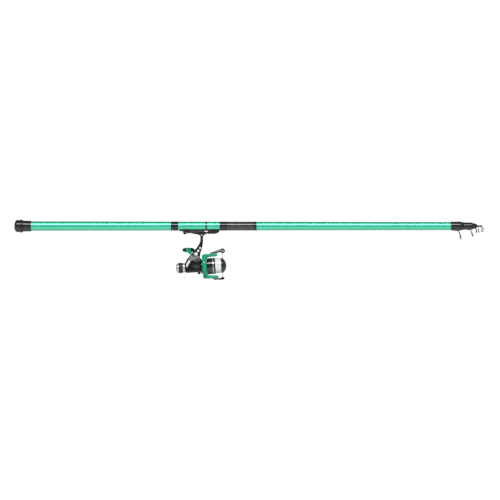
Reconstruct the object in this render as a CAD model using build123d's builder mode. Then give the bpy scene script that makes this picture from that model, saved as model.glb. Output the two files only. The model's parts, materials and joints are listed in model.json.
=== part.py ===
from build123d import *
import os
from math import cos, hypot, radians, sin

# A telescopic fishing rod in its closed state, with a rear-drag spinning reel on its plate seat.
# Frame: +X along the rod towards its tip, +Z up, origin on the rod's axis above the reel's stem,
# where the hand holds the outfit. The reel hangs below the rod and its crank is on the +Y side.
# All sizes are in millimetres.

os.makedirs("parts", exist_ok=True)

# ---- driving dimensions: rod ----
CAP_END = -478.7            # rear face of the butt cap
CAP_RIDGE_R = 16.6          # widest ring of the butt cap
CAP_RIDGE_REAR = -464.4
CAP_RIDGE_FRONT = -457.8
TUBE_REAR = -452.0
TUBE_FRONT = 668.0
TUBE_FRONT_R = 10.36
BLANK_STATIONS = ((-429.0, 12.07), (-130.0, 11.5), (638.0, 10.4))
BUTT_BORE_REAR = 10.9
BUTT_BORE_FRONT = 8.8
WRAP_START = 638.0          # where the butt section's green ends
WRAP_FRONT = 670.7

# each inner section: rear end, front end, outer radius at each end, bore radius at each end
SECTION_2 = (-446.0, 690.0, 8.45, 7.2, 7.5, 6.2)
SECTION_3 = (-443.0, 703.5, 5.9, 4.4, 4.9, 3.5)
TIP_REAR = -440.0
TIP_FRONT = 716.5
TIP_R_REAR = 3.1
TIP_R_FRONT = 1.4

# ---- driving dimensions: seat ----
SADDLE_R = 11.56            # hollow of the seat plate, which lies on the blank
PLATE_REAR = -55.5
PLATE_FRONT = 45.6
PLATE_HALF_WIDTH = 7.5
PLATE_BOTTOM = -13.4
FOOT_TOP = -13.5
FOOT_REAR = -36.0
FOOT_FRONT = 34.0
FOOT_HALF_WIDTH = 6.5
LEVER_PIN_X = -45.3
LEVER_PIN_Z = -18.2

# ---- driving dimensions: reel, along and across its main shaft ----
TILT = 3.5                  # the shaft's front end stands higher by this angle
SHAFT_POINT = (-11.3, 0.0, -104.6)
CRANK_RISE = 8.3            # crank axis above the main shaft
SHAFT_R = 2.5
HOUSING_HALF_WIDTH = 12.0
WALL = 2.0
COVER_THICKNESS = 2.2
FLANGE_R = 17.5
FLANGE_REAR = 9.5
FLANGE_FRONT = 20.0
ROTOR_REAR = 13.8
ROTOR_FRONT = 24.6
ROTOR_R = 31.7
ARM_INNER_R = 23.9
ARM_HALF_WIDTH = 9.0
SKIRT_R = 20.5
SPOOL_REAR = 25.3
LINE_REAR = 46.3
LINE_FRONT = 62.0
LINE_R = 19.2
LIP_FRONT = 68.0
SPOOL_CAP_FRONT = 73.6
ROLLER_U = 67.5
ROLLER_W = 37.4
PINION_TEETH = 9
DRIVE_TEETH = 46
IDLER_TEETH = 13            # small gear on the drive gear's hub
OSCILLATION_TEETH = 21
OSCILLATION_U = -14.0
OSCILLATION_W = 3.2
KNOB_R = 13.0
CRANK_END = (-20.8, 44.7)   # crank pin, along and above the shaft
RUNNING = 0.05              # radial clearance of a shaft in its bore

TILT_COS = cos(radians(TILT))
TILT_SIN = sin(radians(TILT))
FORWARD = Vector(TILT_COS, 0, TILT_SIN)
UPWARD = Vector(-TILT_SIN, 0, TILT_COS)
ROD_AXIS = Axis.X
SHAFT_AXIS = Axis(SHAFT_POINT, FORWARD)


def at_reel(u, v, w):
    """A point given along the shaft, across the reel and above the shaft."""
    return Vector(*SHAFT_POINT) + FORWARD * u + Vector(0, v, 0) + UPWARD * w


def reel_side(v=0.0):
    """Side view of the reel: sketch x along the shaft, y above it; it faces -Y."""
    return Plane(origin=at_reel(0, v, 0), x_dir=FORWARD, z_dir=(0, -1, 0))


def reel_front(u=0.0):
    """View along the shaft: sketch x is +Y, y is up; it faces the rod's tip."""
    return Plane(origin=at_reel(u, 0, 0), x_dir=(0, 1, 0), z_dir=FORWARD)


def cross_axis(u, w):
    """An axis along +Y through a place in the reel's side view."""
    return Axis(at_reel(u, 0, w), (0, 1, 0))


def cross_plane(u, w):
    """A plane through such an axis: sketch x is the radius, y is +Y."""
    return Plane(origin=at_reel(u, 0, w), x_dir=FORWARD, z_dir=UPWARD)


def turn(plane, axis, *outline, mode=Mode.ADD):
    """Turn a closed outline about an axis."""
    with BuildSketch(plane) as profile:
        with BuildLine():
            Polyline(*outline, close=True)
        make_face()
    revolve(profile.sketch, axis=axis, mode=mode)


def turn_on_rod(*outline, mode=Mode.ADD):
    turn(Plane.XZ, ROD_AXIS, *outline, mode=mode)


def turn_on_shaft(*outline, mode=Mode.ADD):
    turn(reel_side(), SHAFT_AXIS, *outline, mode=mode)


def turn_across(u, w, *outline, mode=Mode.ADD):
    """Turn an outline of (radius, y) points about an axis along Y."""
    turn(cross_plane(u, w), cross_axis(u, w), *outline, mode=mode)


def slab(plane, thickness, *outline, mode=Mode.ADD):
    """Extrude a closed outline."""
    with BuildSketch(plane) as profile:
        with BuildLine():
            Polyline(*outline, close=True)
        make_face()
    extrude(profile.sketch, amount=thickness, mode=mode)


def disc(plane, radius, thickness, mode=Mode.ADD):
    """Extrude a circle."""
    with BuildSketch(plane) as profile:
        Circle(radius)
    extrude(profile.sketch, amount=thickness, mode=mode)


def rod_between(start, end, radius):
    """A round bar from one point to another."""
    direction = Vector(*end) - Vector(*start)
    disc(Plane(origin=start, z_dir=direction), radius, direction.length)


def blank_radius(x):
    """Outer radius of the butt section at a place along the rod."""
    (x0, r0), (x1, r1), (x2, r2) = BLANK_STATIONS
    if x <= x0:
        return r0
    if x <= x1:
        return r0 + (r1 - r0) * (x - x0) / (x1 - x0)
    return r1 + (r2 - r1) * (x - x1) / (x2 - x1)


def keep(piece, name):
    """Label a finished piece and write it under its node's name."""
    piece.part.label = name
    export_step(piece.part, f"parts/{name}.step")


# ---- butt section ----
SHANK_R = 10.6
SHANK_FRONT = -450.0
PAD_FRONT = -447.0
PAD_R = 7.9

with BuildPart() as butt_cap:
    turn_on_rod(
        (CAP_END, 0), (CAP_END, 6.3), (-477.6, 10.6), (-475.2, 14.2), (-471.5, 15.8),
        (-467.2, 15.8), (-466.6, 15.1), (-465.2, 15.1),
        (CAP_RIDGE_REAR, CAP_RIDGE_R), (CAP_RIDGE_FRONT, CAP_RIDGE_R), (-456.9, 14.6),
        (-456.9, SHANK_R), (SHANK_FRONT, SHANK_R), (SHANK_FRONT, PAD_R), (-455.0, PAD_R), (-455.0, 0),
    )
keep(butt_cap, "butt_cap")

with BuildPart() as butt_pad:
    turn_on_rod((-455.0, 0), (-455.0, PAD_R), (PAD_FRONT, PAD_R), (PAD_FRONT, 0))
keep(butt_pad, "butt_pad")

with BuildPart() as butt_collar:
    turn_on_rod((-456.6, 12.1), (-456.6, 14.1), (-436.6, 13.7), (-435.7, 13.2), (-435.7, 12.1))
keep(butt_collar, "butt_collar")

with BuildPart() as butt_tube:
    turn_on_rod(
        (TUBE_REAR, BUTT_BORE_REAR), (TUBE_REAR, BLANK_STATIONS[0][1]), *BLANK_STATIONS,
        (TUBE_FRONT, TUBE_FRONT_R), (TUBE_FRONT, BUTT_BORE_FRONT),
    )
keep(butt_tube, "butt_tube")


def blank_sleeve(rear, front, radius):
    """A tape or wrap on the blank, whose bore follows the blank's taper."""
    turn_on_rod(
        (rear, blank_radius(rear)), (rear, radius), (front, radius), (front, blank_radius(front)),
    )


with BuildPart() as rear_band:
    blank_sleeve(-78.6, -59.1, 11.75)
keep(rear_band, "rear_band")

with BuildPart() as ring_band:
    blank_sleeve(10.2, 13.8, SADDLE_R - 0.02)
keep(ring_band, "ring_band")

GRIP_REAR = 46.1
GRIP_FRONT = 141.1
with BuildPart() as grip_sleeve:
    blank_sleeve(65.0, 133.0, 11.42)
keep(grip_sleeve, "grip_sleeve")

with BuildPart() as grip_wraps:
    blank_sleeve(GRIP_REAR, 65.0, 11.65)
    blank_sleeve(133.0, GRIP_FRONT, 11.55)
keep(grip_wraps, "grip_wraps")

WRAP_1 = ((WRAP_START, 11.5), (656.6, 11.5), (657.5, 11.95), (660.0, 11.95), (WRAP_FRONT, 9.9))
with BuildPart() as butt_tip_wrap:
    turn_on_rod(
        (WRAP_START, BLANK_STATIONS[-1][1]), *WRAP_1, (WRAP_FRONT, BUTT_BORE_FRONT),
        (TUBE_FRONT, BUTT_BORE_FRONT), (TUBE_FRONT, TUBE_FRONT_R),
    )
keep(butt_tip_wrap, "butt_tip_wrap")


# ---- inner sections ----
def section_tube(rear, front, r_rear, r_front, bore_rear, bore_front):
    turn_on_rod((rear, bore_rear), (rear, r_rear), (front, r_front), (front, bore_front))


def section_radius(section, x):
    """Outer radius of an inner section at a place along it."""
    rear, front, r_rear, r_front = section[:4]
    return r_rear + (r_front - r_rear) * (x - rear) / (front - rear)


with BuildPart() as section_2_tube:
    section_tube(*SECTION_2)
keep(section_2_tube, "section_2_tube")

WRAP_2 = ((671.1, 9.28), (691.0, 9.28), (694.5, 8.0))
with BuildPart() as section_2_wrap:
    turn_on_rod(
        (671.1, section_radius(SECTION_2, 671.1)), *WRAP_2, (694.5, 6.2),
        (SECTION_2[1], 6.2), (SECTION_2[1], SECTION_2[3]),
    )
keep(section_2_wrap, "section_2_wrap")

with BuildPart() as section_3_tube:
    section_tube(*SECTION_3)
keep(section_3_tube, "section_3_tube")

WRAP_3 = ((694.9, 7.7), (697.6, 7.2), (700.2, 6.5), (702.7, 5.5), (705.2, 4.5))
with BuildPart() as section_3_wrap:
    turn_on_rod(
        (694.9, section_radius(SECTION_3, 694.9)), *WRAP_3, (705.2, 3.5),
        (SECTION_3[1], 3.5), (SECTION_3[1], SECTION_3[3]),
    )
keep(section_3_wrap, "section_3_wrap")

with BuildPart() as tip_blank:
    turn_on_rod((TIP_REAR, 0), (TIP_REAR, TIP_R_REAR), (TIP_FRONT, TIP_R_FRONT), (TIP_FRONT, 0))
keep(tip_blank, "tip_blank")


# ---- line guides: a ring place is its centre along and above the rod, and its lean in degrees ----
def guide_axes(x, z, lean):
    """The plane and axis that a leaning ring is turned in."""
    normal = Vector(cos(radians(lean)), 0, sin(radians(lean)))
    return Plane(origin=(x, 0, z), x_dir=normal, z_dir=(0, -1, 0)), Axis((x, 0, z), normal)


def ring(x, z, lean, outer, inner, half_thickness):
    plane, axis = guide_axes(x, z, lean)
    turn(
        plane, axis, (-half_thickness, inner), (-half_thickness, outer),
        (half_thickness, outer), (half_thickness, inner),
    )


def ring_insert(x, z, lean, outer, inner, half_thickness):
    """A ceramic insert with a rounded bore."""
    plane, axis = guide_axes(x, z, lean)
    edge = half_thickness / 2
    turn(
        plane, axis, (-half_thickness, outer), (half_thickness, outer),
        (half_thickness, inner + edge), (edge, inner), (-edge, inner), (-half_thickness, inner + edge),
    )


def ring_top(x, z, lean, radius):
    """The point of a leaning ring that is nearest the rod."""
    return (x - sin(radians(lean)) * radius, 0, z + cos(radians(lean)) * radius)


def clear_insert(ring_place, radius, depth=4.0):
    """Cut the seat of a ring's insert."""
    plane, axis = guide_axes(*ring_place)
    turn(
        plane, axis, (-depth, 0), (-depth, radius), (depth, radius), (depth, 0), mode=Mode.SUBTRACT
    )


FOOT_PAD_LENGTH = 8.0
FOOT_PAD_HALF_WIDTH = 1.5
FOOT_PAD_DEPTH = 1.0


def guide_frame(foot_x, foot_r, ring_place, frame_r, insert_r, leg_r, wrap):
    """A foot that lies on a wrap, one leg, and the ring that holds the insert."""
    ring(*ring_place, frame_r, insert_r, 0.8)
    rod_between((foot_x, 0, -foot_r), ring_top(*ring_place, (frame_r + insert_r) / 2), leg_r)
    clear_insert(ring_place, insert_r)
    slab(
        Plane.XZ.offset(-FOOT_PAD_HALF_WIDTH), 2 * FOOT_PAD_HALF_WIDTH,
        (foot_x - FOOT_PAD_LENGTH, -foot_r + 2), (foot_x + 1, -foot_r + 2),
        (foot_x + 1, -foot_r - FOOT_PAD_DEPTH), (foot_x - FOOT_PAD_LENGTH, -foot_r - FOOT_PAD_DEPTH / 2),
    )
    grown = [(x, r + 0.02) for x, r in wrap]
    turn_on_rod((grown[0][0] - 20, 0), (grown[0][0] - 20, grown[0][1]), *grown, (grown[-1][0], 0),
                mode=Mode.SUBTRACT)


GUIDE_1_RING = (662.6, -26.6, 11.0)
GUIDE_2_RING = (693.0, -21.0, 15.0)
GUIDE_3_RING = (704.0, -12.6, 12.0)
SLIDING_RING = (709.6, -12.6, 14.0)
TIP_RING = (717.7, -10.4, -16.0)

with BuildPart() as guide_1_frame:
    guide_frame(656.9, 11.9, GUIDE_1_RING, 7.7, 6.5, 0.9, WRAP_1)
keep(guide_1_frame, "guide_1_frame")

with BuildPart() as guide_1_ring:
    ring_insert(*GUIDE_1_RING, 6.5, 5.2, 1.1)
keep(guide_1_ring, "guide_1_ring")

with BuildPart() as guide_2_frame:
    guide_frame(687.6, 9.28, GUIDE_2_RING, 6.6, 5.4, 0.8, WRAP_2)
keep(guide_2_frame, "guide_2_frame")

with BuildPart() as guide_2_ring:
    ring_insert(*GUIDE_2_RING, 5.4, 4.2, 1.0)
keep(guide_2_ring, "guide_2_ring")

with BuildPart() as guide_3_frame:
    ring(*GUIDE_3_RING, 4.9, 4.1, 0.7)
    rod_between((700.6, 0, -6.0), ring_top(*GUIDE_3_RING, 4.5), 0.7)
    turn_on_rod((696, 0), *((x, r + 0.02) for x, r in WRAP_3[1:]), (705.2, 0), mode=Mode.SUBTRACT)
keep(guide_3_frame, "guide_3_frame")

with BuildPart() as guide_3_ring:
    ring_insert(*GUIDE_3_RING, 4.1, 3.2, 0.9)
keep(guide_3_ring, "guide_3_ring")

SLIDING_BORE_R = 1.75
with BuildPart() as sliding_guide_frame:
    turn_on_rod((706.0, SLIDING_BORE_R), (706.0, 2.4), (711.2, 2.4), (711.2, SLIDING_BORE_R))
    ring(*SLIDING_RING, 4.6, 3.9, 0.7)
    rod_between((708.0, 0, -2.2), ring_top(*SLIDING_RING, 4.25), 0.7)
keep(sliding_guide_frame, "sliding_guide_frame")

with BuildPart() as sliding_guide_ring:
    ring_insert(*SLIDING_RING, 3.9, 3.1, 0.9)
keep(sliding_guide_ring, "sliding_guide_ring")

TIP_SLEEVE_R = 2.2
TIP_SLEEVE_REAR = 711.8
TIP_SLEEVE_FRONT = 718.6
HOOP = ((717.6, 0, -1.8), (720.3, 0, -4.0), (722.2, 0, -9.0), (721.0, 0, -13.2), (717.3, 0, -14.6))
with BuildPart() as tip_top_frame:
    turn_on_rod(
        (TIP_SLEEVE_REAR, TIP_R_FRONT + 0.02), (TIP_SLEEVE_REAR, TIP_SLEEVE_R),
        (TIP_SLEEVE_FRONT, TIP_SLEEVE_R), (TIP_SLEEVE_FRONT, 0), (TIP_FRONT, 0),
        (TIP_FRONT, TIP_R_FRONT + 0.02),
    )
    ring(*TIP_RING, 4.5, 3.8, 0.7)
    rod_between((717.0, 0, -2.0), (718.6, 0, -6.2), 0.7)
    for start, end in zip(HOOP, HOOP[1:]):
        rod_between(start, end, 0.5)
        with Locations(end):
            Sphere(0.5)
    clear_insert(TIP_RING, 3.8, depth=1.0)
keep(tip_top_frame, "tip_top_frame")

with BuildPart() as tip_top_ring:
    ring_insert(*TIP_RING, 3.8, 3.0, 0.9)
keep(tip_top_ring, "tip_top_ring")

# ---- reel seat ----
with BuildPart() as seat_plate:
    slab(
        Plane.YZ.offset(PLATE_REAR), PLATE_FRONT - PLATE_REAR,
        (-PLATE_HALF_WIDTH, PLATE_BOTTOM), (PLATE_HALF_WIDTH, PLATE_BOTTOM),
        (PLATE_HALF_WIDTH, -8.8), (-PLATE_HALF_WIDTH, -8.8),
    )
    disc(Plane.YZ.offset(PLATE_REAR - 1), SADDLE_R, PLATE_FRONT - PLATE_REAR + 2, mode=Mode.SUBTRACT)
    # relief under the middle, which leaves a narrow gap above the reel's foot
    slab(
        Plane.XZ.offset(-PLATE_HALF_WIDTH - 1), 2 * PLATE_HALF_WIDTH + 2,
        (7.7, PLATE_BOTTOM - 1), (7.7, -12.3), (16.6, -12.3), (16.6, PLATE_BOTTOM - 1),
        mode=Mode.SUBTRACT,
    )
keep(seat_plate, "seat_plate")

FOOT_OUTLINE = (
    (FOOT_REAR, FOOT_TOP), (7.7, FOOT_TOP), (8.5, -14.6), (15.8, -14.6), (16.6, FOOT_TOP),
    (FOOT_FRONT, FOOT_TOP), (FOOT_FRONT, -15.2), (24.0, -16.9), (17.0, -18.6), (10.0, -21.0),
    (5.6, -24.0), (3.9, -28.0), (-2.9, -28.0), (-4.2, -25.2), (-8.0, -22.6), (-16.6, -20.7),
    (-24.0, -19.8), (-29.0, -17.4), (FOOT_REAR, -15.4),
)
FIXED_HOOD_OUTLINE = (
    (17.0, -13.45), (17.0, -20.0), (19.0, -20.6), (24.5, -19.5), (29.5, -20.2), (34.0, -19.8),
    (40.0, -18.2), (44.0, -16.0), (PLATE_FRONT, -13.45),
)
HOOD_SECTION_R = 10.5
HOOD_SECTION_Z = -10.2
with BuildPart() as fixed_hood:
    slab(Plane.XZ.offset(-9.5), 19, *FIXED_HOOD_OUTLINE)
    with BuildSketch(Plane.YZ.offset(16)) as hood_section:
        with Locations((0, HOOD_SECTION_Z)):
            Circle(HOOD_SECTION_R)
    extrude(hood_section.sketch, amount=32, mode=Mode.INTERSECT)
    # pocket for the front of the reel's foot
    slab(
        Plane.XZ.offset(-FOOT_HALF_WIDTH - 0.1), 2 * FOOT_HALF_WIDTH + 0.2,
        (16.0, -13.0), (16.0, -19.0), (17.0, -18.8), (24.0, -17.1), (FOOT_FRONT + 0.2, -15.4),
        (FOOT_FRONT + 0.2, -13.0), mode=Mode.SUBTRACT,
    )
keep(fixed_hood, "fixed_hood")

LEVER_HALF_WIDTH = 5.0
LEVER_PIN_R = 1.0
LEVER_KNUCKLE_R = 1.7
EAR_THICKNESS = 1.5
EAR_GAP = 0.3
HOOD_REAR = -47.0
HOOD_FRONT = -29.8
HOOD_LIP_TOP = -10.6
with BuildPart() as sliding_hood:
    slab(
        Plane.XZ.offset(-9.4), 18.8,
        (HOOD_REAR, HOOD_LIP_TOP), (HOOD_REAR, -15.6), (-43.5, -16.6), (-31.5, -18.9),
        (HOOD_FRONT, -18.4), (HOOD_FRONT, HOOD_LIP_TOP),
    )
    with BuildSketch(Plane.YZ.offset(HOOD_REAR - 1)) as sliding_section:
        with Locations((0, HOOD_SECTION_Z)):
            Circle(HOOD_SECTION_R)
    extrude(sliding_section.sketch, amount=20, mode=Mode.INTERSECT)
    # channel that runs along the plate
    slab(
        Plane.XZ.offset(-PLATE_HALF_WIDTH - 0.3), 2 * PLATE_HALF_WIDTH + 0.6,
        (HOOD_REAR - 1, -9), (HOOD_REAR - 1, PLATE_BOTTOM - 0.3), (HOOD_FRONT + 1, PLATE_BOTTOM - 0.3),
        (HOOD_FRONT + 1, -9), mode=Mode.SUBTRACT,
    )
    # pocket for the rear of the reel's foot
    slab(
        Plane.XZ.offset(-FOOT_HALF_WIDTH - 0.3), 2 * FOOT_HALF_WIDTH + 0.6,
        (FOOT_REAR - 0.3, -13), (FOOT_REAR - 0.3, -15.6), (-29.0, -17.75), (-29.0, -13),
        mode=Mode.SUBTRACT,
    )
    # two ears and the pin that the lock lever turns on
    ear_reach = LEVER_HALF_WIDTH + EAR_GAP + EAR_THICKNESS
    for near in (-ear_reach, LEVER_HALF_WIDTH + EAR_GAP):
        slab(
            Plane.XZ.offset(near), EAR_THICKNESS,
            (LEVER_PIN_X - 1.7, -15.4), (LEVER_PIN_X - 1.7, LEVER_PIN_Z), (LEVER_PIN_X, LEVER_PIN_Z - 1.8),
            (LEVER_PIN_X + 1.8, LEVER_PIN_Z), (LEVER_PIN_X + 3.0, -16.0),
        )
    with BuildSketch(Plane.XZ.offset(-ear_reach)) as pin_face:
        with Locations((LEVER_PIN_X, LEVER_PIN_Z)):
            Circle(LEVER_PIN_R)
    extrude(pin_face.sketch, amount=2 * ear_reach)
keep(sliding_hood, "sliding_hood")

with BuildPart() as hood_lever:
    with BuildSketch(Plane.XZ.offset(-LEVER_HALF_WIDTH)) as knuckle:
        with Locations((LEVER_PIN_X, LEVER_PIN_Z)):
            Circle(LEVER_KNUCKLE_R)
    extrude(knuckle.sketch, amount=2 * LEVER_HALF_WIDTH)
    slab(
        Plane.XZ.offset(-LEVER_HALF_WIDTH), 2 * LEVER_HALF_WIDTH,
        (LEVER_PIN_X, LEVER_PIN_Z), (LEVER_PIN_X, LEVER_PIN_Z - LEVER_KNUCKLE_R), (-43.6, -21.3),
        (-41.4, -21.3), (-37.0, -18.9), (-37.2, -18.3), (-43.2, -17.2),
    )
    with BuildSketch(Plane.XZ.offset(-LEVER_HALF_WIDTH)) as lever_bore:
        with Locations((LEVER_PIN_X, LEVER_PIN_Z)):
            Circle(LEVER_PIN_R + RUNNING)
    extrude(lever_bore.sketch, amount=2 * LEVER_HALF_WIDTH, mode=Mode.SUBTRACT)
keep(hood_lever, "hood_lever")

# ---- reel body: foot, stem and gear housing in one casting ----
STEM_OUTLINE = (
    (-2.9, -27.0), (-2.8, -38.0), (-4.2, -41.5), (-6.4, -45.8), (-9.0, -50.9), (-12.0, -55.4),
    (-16.6, -60.0), (-21.8, -66.0), (-26.9, -74.0), (-29.0, -76.5), (-4.8, -80.0), (-3.6, -76.0),
    (-3.3, -71.4), (-0.8, -62.5), (2.0, -53.5), (3.3, -45.8), (3.9, -38.0), (3.9, -27.0),
)
STEM_HOLES = ((-3.6, -56.1, 2.2), (-8.4, -63.2, 2.8), (-13.6, -71.2, 3.7))
FOOT_HOLE = (0.5, -23.2, 1.2)
HOUSING_OUTLINE = (
    (-30.5, -11.8), (-30.5, 10.5), (-24.5, 21.5), (-15.0, 31.0), (7.5, 25.4), (12.5, 19.0),
    (12.5, -13.6), (-28.0, -13.6),
)
CAVITY_OUTLINE = (
    (-28.3, -11.0), (-28.3, 9.5), (-22.8, 20.3), (-14.0, 28.4), (6.5, 23.0), (10.6, 18.0),
    (10.6, -11.4), (-26.8, -11.4),
)
STEM_HALF_WIDTH = 4.6
DRIVE_SHAFT_R = 4.0
BUSH_R = 6.0
BUSH_LENGTH = 3.2
BEARING_R = 8.0
BEARING_REAR = 15.0
BEARING_FRONT = 19.6
REVERSE_PIN = (3.6, -14.0)
FLANGE_BORE_R = 16.2
FLANGE_BORE_DEPTH = 4.0

with BuildPart() as reel_body:
    # foot, narrower towards its two ends
    slab(Plane.XZ.offset(-8.0), 16, *FOOT_OUTLINE)
    slab(
        Plane.XY.offset(-40), 40,
        (FOOT_REAR, -3.5), (-30.0, -FOOT_HALF_WIDTH), (-12.0, -7.6), (10.0, -7.6),
        (16.0, -FOOT_HALF_WIDTH), (28.0, -FOOT_HALF_WIDTH), (FOOT_FRONT, -3.5), (FOOT_FRONT, 3.5),
        (28.0, FOOT_HALF_WIDTH), (16.0, FOOT_HALF_WIDTH), (10.0, 7.6), (-12.0, 7.6),
        (-30.0, FOOT_HALF_WIDTH), (FOOT_REAR, 3.5),
        mode=Mode.INTERSECT,
    )
    slab(Plane.XZ.offset(-STEM_HALF_WIDTH), 2 * STEM_HALF_WIDTH, *STEM_OUTLINE)
    slab(reel_side(HOUSING_HALF_WIDTH), 2 * HOUSING_HALF_WIDTH, *HOUSING_OUTLINE)
    for x, z, radius in (*STEM_HOLES, FOOT_HOLE):
        with BuildSketch(Plane.XZ.offset(-20)) as hole:
            with Locations((x, z)):
                Circle(radius)
        extrude(hole.sketch, amount=40, mode=Mode.SUBTRACT)
    disc(reel_front(FLANGE_REAR), FLANGE_R, FLANGE_FRONT - FLANGE_REAR)
    disc(reel_front(FLANGE_REAR + 1), FLANGE_BORE_R, FLANGE_BORE_DEPTH, mode=Mode.SUBTRACT)
    # cavity, open on the cover's side
    slab(
        reel_side(HOUSING_HALF_WIDTH - WALL), 2 * HOUSING_HALF_WIDTH, *CAVITY_OUTLINE,
        mode=Mode.SUBTRACT,
    )
    # seats of the bearing, the shaft's rear end, the crank shaft's bush and the reverse lever's pin
    disc(reel_front(BEARING_REAR - 1), BEARING_R, BEARING_FRONT - BEARING_REAR + 1, mode=Mode.SUBTRACT)
    disc(reel_front(BEARING_FRONT - 1), 6.0, 3, mode=Mode.SUBTRACT)
    disc(reel_front(-32.0), 3.2, 6, mode=Mode.SUBTRACT)
    turn_across(0, CRANK_RISE, (0, 8), (BUSH_R, 8), (BUSH_R, 14), (0, 14), mode=Mode.SUBTRACT)
    disc(
        Plane(origin=at_reel(REVERSE_PIN[0], 0, -20), z_dir=UPWARD), 1.5 + RUNNING, 10,
        mode=Mode.SUBTRACT,
    )
keep(reel_body, "reel_body")

COVER_OUTLINE = (
    (-30.3, -11.6), (-30.3, 10.4), (-24.4, 21.3), (-15.0, 30.7), (7.4, 25.2), (12.3, 18.9),
    (12.3, -13.4), (-27.9, -13.4),
)
COVER_FACE = -HOUSING_HALF_WIDTH - COVER_THICKNESS
BOSS_R = 12.8
BOSS_FACE = -17.2
with BuildPart() as side_cover:
    slab(reel_side(-HOUSING_HALF_WIDTH), COVER_THICKNESS, *COVER_OUTLINE)
    turn_across(
        0, CRANK_RISE, (0, -12.0), (BOSS_R, -12.0), (BOSS_R, COVER_FACE), (BOSS_R - 1.6, BOSS_FACE + 0.8),
        (BOSS_R - 3.0, BOSS_FACE), (0, BOSS_FACE),
    )
    turn_across(0, CRANK_RISE, (0, -11), (BUSH_R, -11), (BUSH_R, -18), (0, -18), mode=Mode.SUBTRACT)
    # clearance round the cover beside the flange
    disc(reel_front(FLANGE_REAR - 0.1), FLANGE_R + 0.02, 20, mode=Mode.SUBTRACT)
keep(side_cover, "side_cover")

with BuildPart() as boss_cap:
    turn_across(
        0, CRANK_RISE, (0, -15.3), (BUSH_R - 0.1, -15.3), (BUSH_R - 0.1, BOSS_FACE), (BUSH_R - 0.9, -18.0),
        (0, -18.3),
    )
keep(boss_cap, "boss_cap")

TRIM_THICKNESS = 0.8
with BuildPart() as cover_trim:
    slab(
        reel_side(COVER_FACE), TRIM_THICKNESS,
        (-28.3, 0.5), (-28.3, 9.8), (-22.6, 20.2), (-14.6, 28.6), (-9.0, 27.4), (-14.8, 20.0),
        (-24.0, 1.0),
    )
keep(cover_trim, "cover_trim")

SCREW_PLACES = ((-26.0, -10.2), (6.5, -10.6), (4.6, 23.2))
SCREW_HEAD_R = 1.9
with BuildPart() as cover_screws:
    for u, w in SCREW_PLACES:
        with BuildSketch(reel_side(COVER_FACE)) as head:
            with Locations((u, w)):
                Circle(SCREW_HEAD_R)
                Rectangle(2.4, 0.6, mode=Mode.SUBTRACT)
                Rectangle(0.6, 2.4, mode=Mode.SUBTRACT)
        extrude(head.sketch, amount=0.7)
keep(cover_screws, "cover_screws")

with BuildPart() as crank_bushes:
    for near, far in ((HOUSING_HALF_WIDTH - BUSH_LENGTH, HOUSING_HALF_WIDTH - 0.1), (-15.2, -12.0)):
        turn_across(
            0, CRANK_RISE, (DRIVE_SHAFT_R + RUNNING, near), (BUSH_R, near), (BUSH_R, far),
            (DRIVE_SHAFT_R + RUNNING, far),
        )
keep(crank_bushes, "crank_bushes")

PINION_R = 4.5
PINION_ROOT_R = 3.7
PINION_BORE_R = SHAFT_R + RUNNING
SLEEVE_R = 4.0
with BuildPart() as pinion_bearing:
    turn_on_shaft(
        (BEARING_REAR, SLEEVE_R + RUNNING), (BEARING_REAR, BEARING_R), (BEARING_FRONT, BEARING_R),
        (BEARING_FRONT, SLEEVE_R + RUNNING),
    )
keep(pinion_bearing, "pinion_bearing")

# ---- gear train: tooth tips stand clear of the gear they face ----
TOOTH_GAP = 0.35
GEAR_TOOTH_ZONE = (9.0, 11.8)
GEAR_FACE = PINION_R + TOOTH_GAP
with BuildPart() as drive_gear:
    turn_across(
        0, CRANK_RISE, (0, -15.0), (DRIVE_SHAFT_R, -15.0), (DRIVE_SHAFT_R, 5.6), (GEAR_TOOTH_ZONE[0], 5.6),
        (GEAR_TOOTH_ZONE[1], 5.6), (GEAR_TOOTH_ZONE[1], 7.6), (DRIVE_SHAFT_R, 7.6), (DRIVE_SHAFT_R, 15.8),
        (0, 15.8),
    )
    # face teeth towards the pinion, and the small gear that drives the oscillation gear
    gear_plane = Plane(origin=at_reel(0, GEAR_FACE, CRANK_RISE), x_dir=FORWARD, z_dir=(0, 1, 0))
    with BuildSketch(gear_plane) as face_teeth:
        with PolarLocations((GEAR_TOOTH_ZONE[0] + GEAR_TOOTH_ZONE[1]) / 2, DRIVE_TEETH):
            Rectangle(GEAR_TOOTH_ZONE[1] - GEAR_TOOTH_ZONE[0] - 0.2, 0.6)
    extrude(face_teeth.sketch, amount=1.0)
    idler_plane = Plane(origin=at_reel(0, -8.5, CRANK_RISE), x_dir=FORWARD, z_dir=(0, 1, 0))
    with BuildSketch(idler_plane) as idler:
        Circle(4.9)
        with PolarLocations(5.1, IDLER_TEETH):
            Rectangle(1.0, 0.9)
    extrude(idler.sketch, amount=3.0)
keep(drive_gear, "drive_gear")

OSCILLATION_ROOT_R = 8.3
OSCILLATION_PIN_OFFSET = 5.5
with BuildPart() as oscillation_gear:
    plane = Plane(
        origin=at_reel(OSCILLATION_U, -8.5, OSCILLATION_W), x_dir=FORWARD, z_dir=(0, 1, 0)
    )
    with BuildSketch(plane) as oscillation_face:
        Circle(OSCILLATION_ROOT_R)
        with PolarLocations(OSCILLATION_ROOT_R + 0.2, OSCILLATION_TEETH):
            Rectangle(0.9, 0.9)
        Circle(1.5 + RUNNING, mode=Mode.SUBTRACT)
    extrude(oscillation_face.sketch, amount=2.8)
    with BuildSketch(plane) as eccentric_pin:
        with Locations((-OSCILLATION_PIN_OFFSET, 0)):
            Circle(1.4)
    extrude(eccentric_pin.sketch, amount=4.4)
keep(oscillation_gear, "oscillation_gear")

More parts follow.
